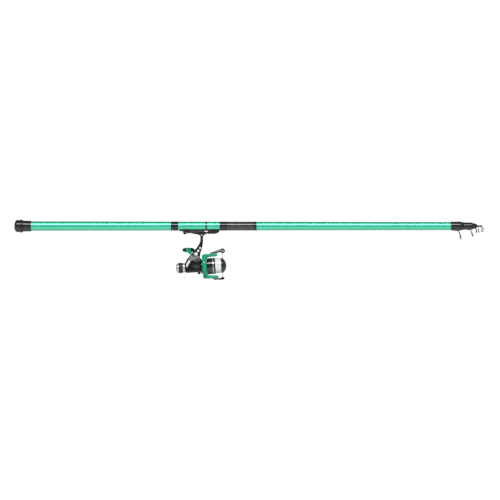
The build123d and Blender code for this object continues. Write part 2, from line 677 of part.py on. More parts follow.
with BuildPart() as oscillation_axle:
    turn_across(OSCILLATION_U, OSCILLATION_W, (0, -HOUSING_HALF_WIDTH), (1.5, -HOUSING_HALF_WIDTH),
                (1.5, -5.2), (0, -5.2))
keep(oscillation_axle, "oscillation_axle")

BLOCK_REAR = -19.5
BLOCK_FRONT = -9.5
with BuildPart() as oscillation_block:
    slab(reel_side(3.6), 7.2, (BLOCK_REAR, -4.0), (BLOCK_REAR, 4.0), (BLOCK_FRONT, 4.0), (BLOCK_FRONT, -4.0))
    disc(reel_front(BLOCK_REAR - 1), SHAFT_R + RUNNING, 20, mode=Mode.SUBTRACT)
keep(oscillation_block, "oscillation_block")

SHAFT_REAR = -26.5
SHAFT_FRONT = 60.0
with BuildPart() as main_shaft:
    disc(reel_front(SHAFT_REAR), SHAFT_R, SHAFT_FRONT - SHAFT_REAR)
keep(main_shaft, "main_shaft")

PINION_REAR = 5.8
PINION_FRONT = 28.6
with BuildPart() as pinion:
    disc(reel_front(PINION_REAR), SLEEVE_R, PINION_FRONT - PINION_REAR)
    with BuildSketch(reel_front(PINION_REAR)) as pinion_face:
        with PolarLocations((PINION_ROOT_R + PINION_R) / 2, PINION_TEETH):
            Rectangle(PINION_R - PINION_ROOT_R, 1.5)
    extrude(pinion_face.sketch, amount=7.4)
    disc(reel_front(PINION_REAR - 1), PINION_BORE_R, 40, mode=Mode.SUBTRACT)
keep(pinion, "pinion")

# ---- rotor ----
RECESS_R = 18.4
RECESS_DEPTH = 6.8
ARM_FRONT = 53.5
HUB_R = 27.0
with BuildPart() as rotor:
    # arms, cut from a ring by a bar across the shaft
    with BuildSketch(reel_front(ROTOR_REAR)) as arms:
        Circle(ROTOR_R)
        Circle(ARM_INNER_R, mode=Mode.SUBTRACT)
        Rectangle(2 * ARM_HALF_WIDTH, 2 * ROTOR_R, mode=Mode.INTERSECT)
    extrude(arms.sketch, amount=ARM_FRONT - ROTOR_REAR)
    slab(reel_side(20), 40, (ROTOR_REAR - 1, ROTOR_R - 5), (ROTOR_REAR - 1, ROTOR_R + 1),
         (ROTOR_REAR + 5, ROTOR_R + 1), mode=Mode.SUBTRACT)
    slab(reel_side(20), 40, (ROTOR_REAR - 1, -ROTOR_R + 5), (ROTOR_REAR - 1, -ROTOR_R - 1),
         (ROTOR_REAR + 4, -ROTOR_R - 1), mode=Mode.SUBTRACT)
    turn_on_shaft(
        (ROTOR_REAR, 0), (ROTOR_REAR, HUB_R - 2.5), (ROTOR_REAR + 2.5, HUB_R), (ROTOR_FRONT - 1.5, HUB_R),
        (ROTOR_FRONT, HUB_R - 1.5), (ROTOR_FRONT, 0),
    )
    disc(reel_front(ROTOR_REAR - 1), RECESS_R, RECESS_DEPTH + 1, mode=Mode.SUBTRACT)
    disc(reel_front(ROTOR_REAR), SLEEVE_R + 0.02, 20, mode=Mode.SUBTRACT)
keep(rotor, "rotor")

NUT_FRONT = 28.4
with BuildPart() as rotor_nut:
    with BuildSketch(reel_front(ROTOR_FRONT)) as nut_face:
        RegularPolygon(6.2, 6)
        Circle(SLEEVE_R + 0.02, mode=Mode.SUBTRACT)
    extrude(nut_face.sketch, amount=NUT_FRONT - ROTOR_FRONT)
keep(rotor_nut, "rotor_nut")

# ---- spool, which the main shaft carries ----
SKIRT_BORE_R = 18.6
ARBOR_R = 12.0
with BuildPart() as spool_body:
    turn_on_shaft(
        (SPOOL_REAR, SKIRT_BORE_R), (SPOOL_REAR, SKIRT_R - 0.5), (SPOOL_REAR + 0.7, SKIRT_R),
        (LINE_REAR - 0.6, SKIRT_R), (LINE_REAR, SKIRT_R - 0.6), (LINE_REAR, ARBOR_R),
        (LINE_FRONT, ARBOR_R), (LINE_FRONT, 18.4), (LINE_FRONT + 0.8, 19.2), (LIP_FRONT - 3.0, 19.0),
        (LIP_FRONT, 17.2), (SPOOL_CAP_FRONT - 0.8, 10.4), (SPOOL_CAP_FRONT, 9.4),
        (SPOOL_CAP_FRONT, 5.6), (SHAFT_FRONT + 0.4, 5.6), (SHAFT_FRONT + 0.4, SHAFT_R + 0.02),
        (42.0, SHAFT_R + 0.02), (42.0, 8.0), (44.0, 10.0), (44.0, SKIRT_BORE_R),
    )
keep(spool_body, "spool_body")

with BuildPart() as line_winding:
    turn_on_shaft(
        (LINE_REAR, ARBOR_R), (LINE_REAR, LINE_R - 0.8), (LINE_REAR + 1.2, LINE_R),
        (LINE_FRONT - 1.5, LINE_R - 0.2), (LINE_FRONT, LINE_R - 1.0), (LINE_FRONT, ARBOR_R),
    )
keep(line_winding, "line_winding")

SKIRT_RING_U = 40.2
with BuildPart() as skirt_ring:
    turn_on_shaft(
        (SKIRT_RING_U, SKIRT_R), (SKIRT_RING_U + 0.2, SKIRT_R + 0.25),
        (SKIRT_RING_U + 1.8, SKIRT_R + 0.25), (SKIRT_RING_U + 2.0, SKIRT_R),
    )
keep(skirt_ring, "skirt_ring")

BUTTON_TRAVEL = 1.2
BUTTON_R = 5.5
with BuildPart() as spool_button:
    turn_on_shaft(
        (SHAFT_FRONT + 2.0, 0), (SHAFT_FRONT + 2.0, BUTTON_R), (74.4, BUTTON_R), (74.9, BUTTON_R - 0.5),
        (74.9, 0),
    )
keep(spool_button, "spool_button")

# ---- bail ----
LEVER_GAP = 0.35
LEVER_W = ROTOR_R + LEVER_GAP   # inner faces of the bail's two levers
ROLLER_END_R = 6.3
ROLLER_SHANK_R = 1.42
with BuildPart() as bail_arm:
    with BuildSketch(reel_side(3.0)) as arm_face:
        with BuildLine():
            Polyline(
                (34.5, LEVER_W), (52.5, LEVER_W), (57.0, 33.6), (62.0, 35.0), (66.0, 37.0),
                (66.0, 42.9), (61.8, 41.3), (50.0, 38.0), (40.0, 35.6), (35.2, 33.8), close=True,
            )
        make_face()
        with Locations((ROLLER_U, ROLLER_W)):
            Circle(ROLLER_END_R)
            Circle(ROLLER_SHANK_R, mode=Mode.SUBTRACT)
    extrude(arm_face.sketch, amount=6.0)
keep(bail_arm, "bail_arm")

WIRE_R = 0.65
CONE_NEAR = 9.0
CONE_FAR = 13.5
WIRE_TOP = (66.8, 13.0, ROLLER_W)
WIRE_SIDE = (65.0, 38.0, 0.0)
WIRE_BOTTOM = (64.2, 3.3, -33.0)
with BuildPart() as bail_wire:
    turn_across(
        ROLLER_U, ROLLER_W, (0, CONE_NEAR + 1.2), (ROLLER_SHANK_R, CONE_NEAR + 1.2),
        (ROLLER_SHANK_R, CONE_NEAR), (5.2, CONE_NEAR), (4.6, CONE_NEAR + 1.5), (1.4, CONE_FAR), (0, CONE_FAR),
    )
    with BuildLine() as wire_path:
        ThreePointArc(at_reel(*WIRE_TOP), at_reel(*WIRE_SIDE), at_reel(*WIRE_BOTTOM))
    with BuildSketch(Plane(origin=wire_path.line @ 0, z_dir=wire_path.line % 0)) as wire_section:
        Circle(WIRE_R)
    sweep(wire_section.sketch, path=wire_path.line)
keep(bail_wire, "bail_wire")

with BuildPart() as bail_lever:
    slab(
        reel_side(3.0), 6.0,
        (38.0, -LEVER_W), (57.0, -LEVER_W), (59.6, -30.4), (62.4, -29.6), (66.8, -29.8), (68.6, -32.4),
        (66.8, -36.0), (60.0, -36.4), (46.0, -35.4), (38.6, -33.8),
    )
keep(bail_lever, "bail_lever")

ROLLER_R = 4.6
with BuildPart() as line_roller:
    turn_across(
        ROLLER_U, ROLLER_W, (ROLLER_SHANK_R + RUNNING, 3.3), (ROLLER_R, 3.3), (ROLLER_R, 4.2),
        (ROLLER_R - 1.2, 5.2), (ROLLER_R - 1.2, 6.8), (ROLLER_R, 7.8), (ROLLER_R, 8.7),
        (ROLLER_SHANK_R + RUNNING, 8.7),
    )
keep(line_roller, "line_roller")

with BuildPart() as roller_screw:
    turn_across(
        ROLLER_U, ROLLER_W, (0, CONE_NEAR + 1.2), (ROLLER_SHANK_R, CONE_NEAR + 1.2),
        (ROLLER_SHANK_R, -3.0), (2.8, -3.0), (2.8, -3.8), (2.2, -4.2), (0, -4.2),
    )
keep(roller_screw, "roller_screw")

# ---- rear drag ----
KNOB_REAR = -54.0
BAND_REAR = -47.2
BAND_FRONT = -36.9
KNOB_RIBS = 20
with BuildPart() as drag_cap:
    turn_on_shaft(
        (KNOB_REAR, 0), (KNOB_REAR, 6.0), (KNOB_REAR + 1.2, 9.4), (KNOB_REAR + 3.2, 11.6),
        (BAND_REAR, KNOB_R - 0.4), (BAND_REAR, 0),
    )
keep(drag_cap, "drag_cap")

with BuildPart() as drag_band:
    turn_on_shaft((BAND_REAR, 0), (BAND_REAR, KNOB_R - 0.6), (BAND_FRONT, KNOB_R - 0.6), (BAND_FRONT, 0))
    with BuildSketch(reel_front(BAND_REAR + 0.8)) as ribs:
        with PolarLocations(KNOB_R - 0.6, KNOB_RIBS):
            Rectangle(1.2, 2.0)
    extrude(ribs.sketch, amount=BAND_FRONT - BAND_REAR - 1.6)
keep(drag_band, "drag_band")

COLLAR_REAR = -36.6
COLLAR_FRONT = -30.5
with BuildPart() as drag_collar:
    turn_on_shaft(
        (COLLAR_REAR, 3.4), (COLLAR_REAR, KNOB_R - 1.6), (COLLAR_REAR + 1.0, KNOB_R - 0.8),
        (COLLAR_FRONT, KNOB_R - 2.2), (COLLAR_FRONT, 3.4),
    )
keep(drag_collar, "drag_collar")

SCREW_R = 2.9
SCREW_FRONT = -27.6
with BuildPart() as drag_screw:
    disc(reel_front(BAND_FRONT), SCREW_R, SCREW_FRONT - BAND_FRONT)
keep(drag_screw, "drag_screw")

WASHER_R = 5.2
WASHER_BORE_R = SHAFT_R + 0.5
WASHER_THICKNESS = 1.1
with BuildPart() as drag_washers:
    for rear in (-25.8, -24.4, -23.0):
        front = rear + WASHER_THICKNESS
        turn_on_shaft((rear, WASHER_BORE_R), (rear, WASHER_R), (front, WASHER_R), (front, WASHER_BORE_R))
keep(drag_washers, "drag_washers")

with BuildPart() as reverse_lever:
    disc(Plane(origin=at_reel(REVERSE_PIN[0], 0, -14.2), z_dir=UPWARD), 1.5, 2.4)
    slab(
        reel_side(2.2), 4.4, (-0.4, REVERSE_PIN[1]), (8.0, REVERSE_PIN[1]), (8.2, -17.0), (5.6, -19.4),
        (1.8, -18.6),
    )
keep(reverse_lever, "reverse_lever")

# ---- crank and its knob ----
HUB_NEAR = 12.6
HUB_FAR = 17.0
CRANK_SHANK_R = 5.4
ARM_THICKNESS = 3.6
ARM_NEAR = 33.0             # clear of the rotor's arms as both turn
ARM_STEP = 6.0              # the knob's end of the arm stands this much further out
PIN_R = 2.2
KNOB_NEAR = 43.4
KNOB_FAR = 63.0
KNOB_HALF_LENGTH = 15.5
KNOB_HALF_HEIGHT = 6.0
BAR_MIDDLE = KNOB_FAR - KNOB_HALF_HEIGHT
with BuildPart() as crank_arm:
    turn_across(
        0, CRANK_RISE, (0, 15.9), (DRIVE_SHAFT_R, 15.9), (DRIVE_SHAFT_R, HUB_NEAR), (7.6, HUB_NEAR),
        (8.2, HUB_NEAR + 1.4), (7.4, HUB_FAR), (CRANK_SHANK_R, HUB_FAR + 1.5),
        (CRANK_SHANK_R, ARM_NEAR - 1.0), (6.2, ARM_NEAR), (6.2, ARM_NEAR + ARM_THICKNESS),
        (0, ARM_NEAR + ARM_THICKNESS),
    )
    reach_u, reach_w = CRANK_END[0], CRANK_END[1] - CRANK_RISE
    reach = hypot(reach_u, reach_w)
    along_u, along_w = reach_u / reach, reach_w / reach
    knee_out, knee_far = 0.35 * reach, 0.8 * reach

    def arm_point(distance, sideways):
        """A point beside the crank's centre line, measured from the crank axis."""
        return (
            along_u * distance - along_w * sideways,
            CRANK_RISE + along_w * distance + along_u * sideways,
        )

    slab(
        reel_side(ARM_NEAR + ARM_STEP + ARM_THICKNESS), ARM_STEP + ARM_THICKNESS,
        arm_point(0, -4.2), arm_point(knee_out, -3.4), arm_point(reach, -3.4),
        arm_point(reach, 3.4), arm_point(knee_out, 3.4), arm_point(0, 4.2),
    )
    # the arm steps outwards along its length
    arm_side = Plane(
        origin=at_reel(0, 0, CRANK_RISE), x_dir=FORWARD * along_u + UPWARD * along_w,
        z_dir=(FORWARD * along_u + UPWARD * along_w).cross(Vector(0, 1, 0)),
    )
    slab(
        arm_side.offset(-10), 20, (knee_far, ARM_NEAR - 1), (knee_far, ARM_NEAR + ARM_STEP),
        (knee_out, ARM_NEAR), (9.0, ARM_NEAR), (9.0, ARM_NEAR - 1), mode=Mode.SUBTRACT,
    )
    slab(
        arm_side.offset(-10), 20, (knee_far, ARM_NEAR + ARM_STEP + ARM_THICKNESS),
        (knee_out, ARM_NEAR + ARM_THICKNESS), (-10.0, ARM_NEAR + ARM_THICKNESS), (-10.0, 50.0),
        (knee_far, 50.0), mode=Mode.SUBTRACT,
    )
    end_near = ARM_NEAR + ARM_STEP
    end_far = end_near + ARM_THICKNESS
    turn_across(
        *CRANK_END, (0, end_near - 0.6), (6.4, end_near - 0.6), (7.0, end_near), (7.0, end_far),
        (PIN_R, end_far), (PIN_R, BAR_MIDDLE), (0, BAR_MIDDLE),
    )
keep(crank_arm, "crank_arm")

with BuildPart() as crank_knob:
    turn_across(
        *CRANK_END, (0, KNOB_NEAR), (5.4, KNOB_NEAR), (4.4, KNOB_NEAR + 4), (5.6, KNOB_FAR - 10),
        (5.6, KNOB_FAR - 4), (0, KNOB_FAR - 4),
    )
    bar = Plane(
        origin=at_reel(CRANK_END[0], BAR_MIDDLE, CRANK_END[1]), x_dir=(1, 0, 0), z_dir=(0, -1, 0)
    )
    with BuildSketch(bar.offset(-KNOB_HALF_HEIGHT)) as bar_face:
        SlotOverall(2 * KNOB_HALF_LENGTH, 2 * KNOB_HALF_HEIGHT)
    extrude(bar_face.sketch, amount=2 * KNOB_HALF_HEIGHT)
    bore_far = BAR_MIDDLE + 0.4
    turn_across(
        *CRANK_END, (0, KNOB_NEAR - 1), (PIN_R + RUNNING, KNOB_NEAR - 1), (PIN_R + RUNNING, bore_far),
        (0, bore_far), mode=Mode.SUBTRACT,
    )
keep(crank_knob, "crank_knob")
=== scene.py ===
import json
import math

import bmesh
import bpy
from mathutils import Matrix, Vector


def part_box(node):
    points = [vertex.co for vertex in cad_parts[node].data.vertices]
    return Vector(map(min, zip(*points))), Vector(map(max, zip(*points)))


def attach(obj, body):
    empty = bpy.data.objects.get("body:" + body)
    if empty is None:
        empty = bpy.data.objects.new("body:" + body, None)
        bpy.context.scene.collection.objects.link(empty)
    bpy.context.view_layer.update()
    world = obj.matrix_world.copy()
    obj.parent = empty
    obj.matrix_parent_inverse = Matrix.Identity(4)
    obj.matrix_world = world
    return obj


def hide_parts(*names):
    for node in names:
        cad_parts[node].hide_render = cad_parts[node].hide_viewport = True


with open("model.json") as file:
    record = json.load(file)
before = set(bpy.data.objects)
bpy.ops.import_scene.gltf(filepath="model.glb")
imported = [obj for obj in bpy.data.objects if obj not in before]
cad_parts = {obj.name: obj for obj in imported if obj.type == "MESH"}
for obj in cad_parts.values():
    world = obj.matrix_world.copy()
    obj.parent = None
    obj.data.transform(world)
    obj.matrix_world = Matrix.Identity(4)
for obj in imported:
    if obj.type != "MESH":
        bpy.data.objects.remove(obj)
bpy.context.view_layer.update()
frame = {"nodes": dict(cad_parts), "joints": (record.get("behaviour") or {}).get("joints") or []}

MM = 0.001
JOINTS = {joint["name"]: joint for joint in frame["joints"]}

# ---------------------------------------------------------------- places


class Spindle:
    """A line in space that shapes are turned about. All lengths are in millimetres."""

    def __init__(self, origin, along, right):
        self.origin = Vector(origin)
        self.along = Vector(along).normalized()
        self.right = Vector(right).normalized()
        self.up = self.along.cross(self.right)

    def at(self, distance, radius=0.0, angle=0.0):
        spoke = self.right * math.cos(angle) + self.up * math.sin(angle)
        return self.origin + self.along * distance + spoke * radius

    def flat(self, x, y, depth):
        """A point of a flat outline that lies across the spindle."""
        return self.origin + self.right * x + self.up * y + self.along * depth


# The rod turned, seen from its near side (x along it, y up, depth towards -Y), and seen from its butt.
ROD = Spindle((0, 0, 0), (1, 0, 0), (0, 0, 1))
ROD_SIDE = Spindle((0, 0, 0), (0, -1, 0), (1, 0, 0))
ROD_SECTION = Spindle((0, 0, 0), (1, 0, 0), (0, 1, 0))
# The reel turned about its main shaft, and seen from its near side (x along the shaft, y above it).
FORWARD = Vector(JOINTS["rotor_turn"]["axis"])
UPWARD = Vector(JOINTS["bail_flip"]["axis"])
SHAFT_POINT = Vector(JOINTS["rotor_turn"]["pos_m"]) / MM
SHAFT = Spindle(SHAFT_POINT, FORWARD, UPWARD)
REEL_SIDE = Spindle(SHAFT_POINT, (0, -1, 0), FORWARD)


def at_reel(u, v, w):
    """A point along the main shaft, across the reel (towards +Y) and above the shaft."""
    return SHAFT_POINT + FORWARD * u + Vector((0, v, 0)) + UPWARD * w


def reel_place(joint):
    """Where a joint's axis stands along and above the main shaft."""
    offset = Vector(JOINTS[joint]["pos_m"]) / MM - SHAFT_POINT
    return offset.dot(FORWARD), offset.dot(UPWARD)


def across(u, w):
    """A spindle along +Y through a place in the reel's side view."""
    return Spindle(at_reel(u, 0, w), (0, 1, 0), FORWARD)


CRANK_PLACE = reel_place("crank_turn")
PIN_PLACE = reel_place("knob_spin")
ROLLER_PLACE = reel_place("roller_spin")
CRANK_AXIS = across(*CRANK_PLACE)
PIN_AXIS = across(*PIN_PLACE)
ROLLER_AXIS = across(*ROLLER_PLACE)


def span(node):
    """Lowest and highest corner of a CAD node, in millimetres."""
    low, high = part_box(node)
    return low / MM, high / MM


# ---------------------------------------------------------------- mesh tools

# the share of an edge that one corner may take up, and how fast a corner's radius shrinks in an inset
CORNER_SHARE = 0.48
RADIUS_LOSS = 0.6
# radii and reaches below these count as none
ON_AXIS = 1e-3
NO_REACH = 1e-4
# the bevel of a cutter that is meant to be sharp
SHARP = 0.01
MELT_ANGLE = 60


def circle(count):
    """Equal steps of angle all the way round."""
    return [2 * math.pi * k / count for k in range(count)]


def rounded(points, radius, closed=False, steps=4):
    """An outline whose corners are turned into small curves. A third number sets a corner's own radius."""
    count = len(points)
    result = []
    for index, point in enumerate(points):
        here = Vector(point[:2])
        if not closed and index in (0, count - 1):
            result.append(tuple(here))
            continue
        corner = point[2] if len(point) > 2 else radius
        before, after = Vector(points[index - 1][:2]), Vector(points[(index + 1) % count][:2])
        reach = min(corner, CORNER_SHARE * (before - here).length, CORNER_SHARE * (after - here).length)
        if reach < NO_REACH:
            result.append(tuple(here))
            continue
        start = here + (before - here).normalized() * reach
        end = here + (after - here).normalized() * reach
        for step in range(steps + 1):
            t = step / steps
            result.append(tuple(start * (1 - t) ** 2 + here * 2 * t * (1 - t) + end * t * t))
    return result


def in_scene(name, data):
    """An object of the scene with this mesh, lamp or camera."""
    thing = bpy.data.objects.new(name, data)
    bpy.context.scene.collection.objects.link(thing)
    return thing


def shade(piece, smooth_angle=35):
    piece.data.polygons.foreach_set("use_smooth", [True] * len(piece.data.polygons))
    piece.data.set_sharp_from_angle(angle=math.radians(smooth_angle))
    return piece


def new_piece(name, vertices, faces, smooth_angle):
    """A mesh object from points in millimetres."""
    mesh = bpy.data.meshes.new(name)
    mesh.from_pydata([Vector(v) * MM for v in vertices], [], faces)
    work = bmesh.new()
    work.from_mesh(mesh)
    bmesh.ops.remove_doubles(work, verts=work.verts, dist=1e-7)
    bmesh.ops.recalc_face_normals(work, faces=work.faces)
    work.to_mesh(mesh)
    work.free()
    return shade(in_scene(name, mesh), smooth_angle)


def lathe(name, spindle, profile, corner=0.3, segments=96, closed=False, steps=4, smooth_angle=35,
          ripple=None):
    """A profile of (distance, radius) points turned about a spindle.

    A closed profile joins its last point to its first. A ripple gives the rise of the surface at a
    distance and an angle.
    """
    line = rounded(profile, corner, closed, steps)
    if closed:
        line.append(line[0])
    vertices, faces, rings = [], [], []
    for distance, radius in line:
        if radius < ON_AXIS:
            rings.append([len(vertices)])
            vertices.append(spindle.at(distance))
            continue
        rings.append(range(len(vertices), len(vertices) + segments))
        for angle in circle(segments):
            rise = ripple(distance, angle) if ripple else 0.0
            vertices.append(spindle.at(distance, radius + rise, angle))
    for near, far in zip(rings, rings[1:]):
        for index in range(segments):
            following = (index + 1) % segments
            corners = [near[index % len(near)], near[following % len(near)],
                       far[following % len(far)], far[index % len(far)]]
            unique = list(dict.fromkeys(corners))
            if len(unique) > 2:
                faces.append(unique)
    return new_piece(name, vertices, faces, smooth_angle)


def cylinder(spindle, near, far, radius, segments=48, corner=0.0):
    """A plain turned solid, mostly used as a cutter for a round hole."""
    return lathe("cylinder", spindle, [(near, 0), (near, radius), (far, radius), (far, 0)], corner, segments)


def loft(name, rings, capped=True, smooth_angle=35):
    """A skin over rings of equal length."""
    count = len(rings[0])
    total = count * len(rings)
    faces = []
    for start in range(0, total - count, count):
        for index in range(count):
            following = (index + 1) % count
            faces.append((start + index, start + following, start + count + following, start + count + index))
    if capped:
        faces += [tuple(range(count)), tuple(range(total - 1, total - count - 1, -1))]
    return new_piece(name, [point for ring in rings for point in ring], faces, smooth_angle)


def inset(outline, distance):
    """An outline moved inwards by a distance. Its corners' own radii shrink with it."""
    area = sum(a[0] * b[1] - b[0] * a[1] for a, b in zip(outline, outline[1:] + outline[:1]))
    turn = 1 if area > 0 else -1
    moved = []
    for index, point in enumerate(outline):
        before, after = Vector(outline[index - 1][:2]), Vector(outline[(index + 1) % len(outline)][:2])
        here = Vector(point[:2])
        first, second = (here - before).normalized(), (after - here).normalized()
        normal = Vector((-(first + second).y, (first + second).x)).normalized() * turn
        shrink = max(0.5, abs(normal.dot(Vector((-first.y, first.x)))))
        radii = [max(0.3, point[2] - RADIUS_LOSS * distance)] if len(point) > 2 else []
        moved.append((*(here + normal * distance / shrink), *radii))
    return moved


def prism(name, spindle, outline, near, far, near_bevel, far_bevel, steps=3, corner=0.0):
    """A flat outline given thickness between two depths, with rolled edges."""
    turns = [math.pi / 2 * step / steps for step in range(steps + 1)]
    layers = [(near + near_bevel * (1 - math.cos(a)), near_bevel * (1 - math.sin(a))) for a in turns]
    layers += [(far - far_bevel * (1 - math.cos(a)), far_bevel * (1 - math.sin(a))) for a in turns[::-1]]
    rings = []
    for depth, amount in layers:
        line = rounded(inset(outline, amount), max(0.0, corner - RADIUS_LOSS * amount), closed=True)
        rings.append([spindle.flat(x, y, depth) for x, y in line])
    return loft(name, rings)


def block(spindle, outline, near, far):
    """A sharp-edged cutter of a flat outline."""
    return prism("block", spindle, outline, near, far, SHARP, SHARP, 1)


def tube(name, points, radii, segments):
    """A round bar along a path of points. Its radius is one number or one for each point."""
    path = [Vector(p) for p in points]
    rings = []
    side = None
    for index, point in enumerate(path):
        before, after = path[max(index - 1, 0)], path[min(index + 1, len(path) - 1)]
        direction = (after - before).normalized()
        if side is None:
            guess = Vector((0, 1, 0)) if abs(direction.y) < 0.9 else Vector((1, 0, 0))
            side = direction.cross(guess).normalized()
        side = (side - direction * side.dot(direction)).normalized()
        other = direction.cross(side)
        radius = radii[index] if isinstance(radii, list) else radii
        rings.append([point + (side * math.cos(a) + other * math.sin(a)) * radius for a in circle(segments)])
    return loft(name, rings, smooth_angle=50)


def arc_through(start, middle, end, count):
    """Points of the circle's arc through three points."""
    a, b, c = start, middle, end
    ab, ac = b - a, c - a
    normal = ab.cross(ac)
    centre = a + (normal.cross(ab) * ac.length_squared + ac.cross(normal) * ab.length_squared) / (
        2 * normal.length_squared)
    first = a - centre
    second = normal.normalized().cross(first)
    sweep = math.atan2((c - centre).dot(second), (c - centre).dot(first)) % (2 * math.pi)
    return [centre + first * math.cos(sweep * k / count) + second * math.sin(sweep * k / count)
            for k in range(count + 1)]


def smooth_path(points, count):
    """A curve through points (Catmull-Rom)."""
    path = [Vector(p) for p in points]
    path = [path[0] * 2 - path[1]] + path + [path[-1] * 2 - path[-2]]
    result = []
    for index in range(1, len(path) - 2):
        a, b, c, d = path[index - 1:index + 3]
        for step in range(count):
            t = step / count
            result.append(0.5 * ((2 * b) + (c - a) * t + (2 * a - 5 * b + 4 * c - d) * t * t
                                 + (3 * b - a - 3 * c + d) * t ** 3))
    result.append(path[-2])
    return result


def apply_modifiers(piece):
    graph = bpy.context.evaluated_depsgraph_get()
    mesh = bpy.data.meshes.new_from_object(piece.evaluated_get(graph))
    old = piece.data
    piece.modifiers.clear()
    piece.data = mesh
    mesh.name = piece.name
    bpy.data.meshes.remove(old)


def discard(piece):
    mesh = piece.data
    bpy.data.objects.remove(piece)
    bpy.data.meshes.remove(mesh)


def join(name, pieces):
    """One object from several."""
    work = bmesh.new()
    for piece in pieces:
        work.from_mesh(piece.data)
    mesh = bpy.data.meshes.new(name)
    work.to_mesh(mesh)
    work.free()
    for piece in pieces:
        discard(piece)
    return in_scene(name, mesh)


def melt(name, pieces, voxel, smoothing):
    """Pieces cast into one skin, whose inner corners are filleted by the smoothing."""
    cast = join(name, pieces)
    remesh = cast.modifiers.new("remesh", "REMESH")
    remesh.mode = "VOXEL"
    remesh.voxel_size = voxel * MM
    remesh.adaptivity = 0.0
    relax = cast.modifiers.new("relax", "SMOOTH")
    relax.factor = 0.6
    relax.iterations = smoothing
    apply_modifiers(cast)
    return shade(cast, MELT_ANGLE)


def cut(piece, cutters, solver="EXACT"):
    """Take shapes out of a piece."""
    for cutter in cutters:
        boolean = piece.modifiers.new("cut", "BOOLEAN")
        boolean.operation = "DIFFERENCE"
        boolean.solver = solver
        boolean.object = cutter
        apply_modifiers(piece)
        discard(cutter)
    return shade(piece)


# ---------------------------------------------------------------- materials


def linear(hex_code, gain=1.0, lift=0.0):
    """A linear colour from a display colour's hex code, made stronger by a gain and paler by a lift."""
    channels = [int(hex_code[i:i + 2], 16) / 255 for i in (0, 2, 4)]
    light = [c / 12.92 if c <= 0.04045 else ((c + 0.055) / 1.055) ** 2.4 for c in channels]
    return tuple(gain * c + lift for c in light)


# the radius that a weave round the rod is laid out for, and how Blender counts a wave texture's scale
WEAVE_RADIUS = 11.5
WAVES_PER_SCALE = 20 / (2 * math.pi)


class Nodes:
    """A node tree, built a node at a time."""

    def __init__(self, tree):
        self.tree = tree

    def link(self, output, target):
        self.tree.links.new(output, target)

    def node(self, kind, inputs=None, **settings):
        """A node with its settings, and with values or other nodes' outputs on its inputs."""
        made = self.tree.nodes.new(kind)
        for key, value in settings.items():
            setattr(made, key, value)
        for key, value in (inputs or {}).items():
            if isinstance(value, bpy.types.NodeSocket):
                self.link(value, made.inputs[key])
            else:
                made.inputs[key].default_value = value
        return made

    def combine(self, first, second, operation="ADD"):
        return self.node("ShaderNodeMath", {0: first, 1: second}, operation=operation).outputs[0]

    def fade(self, value, start, end, low, high):
        """A soft step from one value to another."""
        inputs = {"Value": value, "From Min": start, "From Max": end, "To Min": low, "To Max": high}
        return self.node("ShaderNodeMapRange", inputs, interpolation_type="SMOOTHSTEP").outputs["Result"]


class Paint(Nodes):
    """A material's node tree."""

    def __init__(self, name):
        self.material = bpy.data.materials.new(name)
        self.material.use_nodes = True
        super().__init__(self.material.node_tree)
        self.shader = self.tree.nodes["Principled BSDF"]
        self.coordinates = self.node("ShaderNodeTexCoord").outputs["Object"]

    def mapped(self, vector, scale=(1, 1, 1), rotation=(0, 0, 0)):
        """Coordinates scaled and turned."""
        inputs = {"Scale": scale, "Rotation": rotation, "Vector": vector}
        return self.node("ShaderNodeMapping", inputs).outputs["Vector"]

    def noise(self, scale, detail=4.0, vector=None):
        inputs = {"Scale": scale, "Detail": detail, "Roughness": 0.55, "Vector": vector or self.coordinates}
        return self.node("ShaderNodeTexNoise", inputs).outputs["Fac"]

    def waves(self, pitch, distortion=0.0, vector=None):
        """Ridges across the X axis, with a pitch in millimetres."""
        inputs = {"Scale": 1 / (WAVES_PER_SCALE * pitch * MM), "Distortion": distortion, "Detail": 2.0,
                  "Vector": vector or self.coordinates}
        made = self.node("ShaderNodeTexWave", inputs, wave_type="BANDS", bands_direction="X")
        return made.outputs["Fac"]

    def crossed_waves(self, pitch):
        """Two sets of ridges that run round the rod at an angle and cross each other."""
        place = self.node("ShaderNodeSeparateXYZ", {"Vector": self.coordinates}).outputs
        angle = self.combine(place["Z"], place["Y"], "ARCTAN2")
        arc = self.combine(angle, WEAVE_RADIUS * MM, "MULTIPLY")
        unrolled = self.node("ShaderNodeCombineXYZ", {"X": place["X"], "Y": arc}).outputs["Vector"]
        return [self.waves(pitch, vector=self.mapped(unrolled, rotation=(0, 0, math.radians(turn))))
                for turn in (45, -45)]

    def ramp(self, factor, stops):
        """Map a factor through (position, grey) stops."""
        made = self.node("ShaderNodeValToRGB", {"Fac": factor})
        for element, (position, grey) in zip(made.color_ramp.elements, stops):
            element.position = position
            element.color = (grey, grey, grey, 1.0)
        return made.outputs["Color"]

    def blend(self, factor, low, high):
        """A colour between two, by a factor."""
        inputs = {"Factor": factor}
        for socket, value in ((6, low), (7, high)):
            inputs[socket] = value if isinstance(value, bpy.types.NodeSocket) else (*value, 1.0)
        return self.node("ShaderNodeMix", inputs, data_type="RGBA").outputs[2]

    def base(self, colour):
        self.link(colour, self.shader.inputs["Base Color"])

    def rough(self, factor, low, high):
        made = self.node("ShaderNodeMapRange", {"To Min": low, "To Max": high, "Value": factor})
        self.link(made.outputs["Result"], self.shader.inputs["Roughness"])

    def bump(self, height, depth, strength):
        """Relief of a given depth in millimetres."""
        made = self.node("ShaderNodeBump", {"Strength": strength, "Distance": depth * MM, "Height": height})
        self.link(made.outputs["Normal"], self.shader.inputs["Normal"])

    def set(self, **values):
        """Constants on the shader's own sockets."""
        for key, value in values.items():
            self.shader.inputs[key.replace("_", " ")].default_value = value


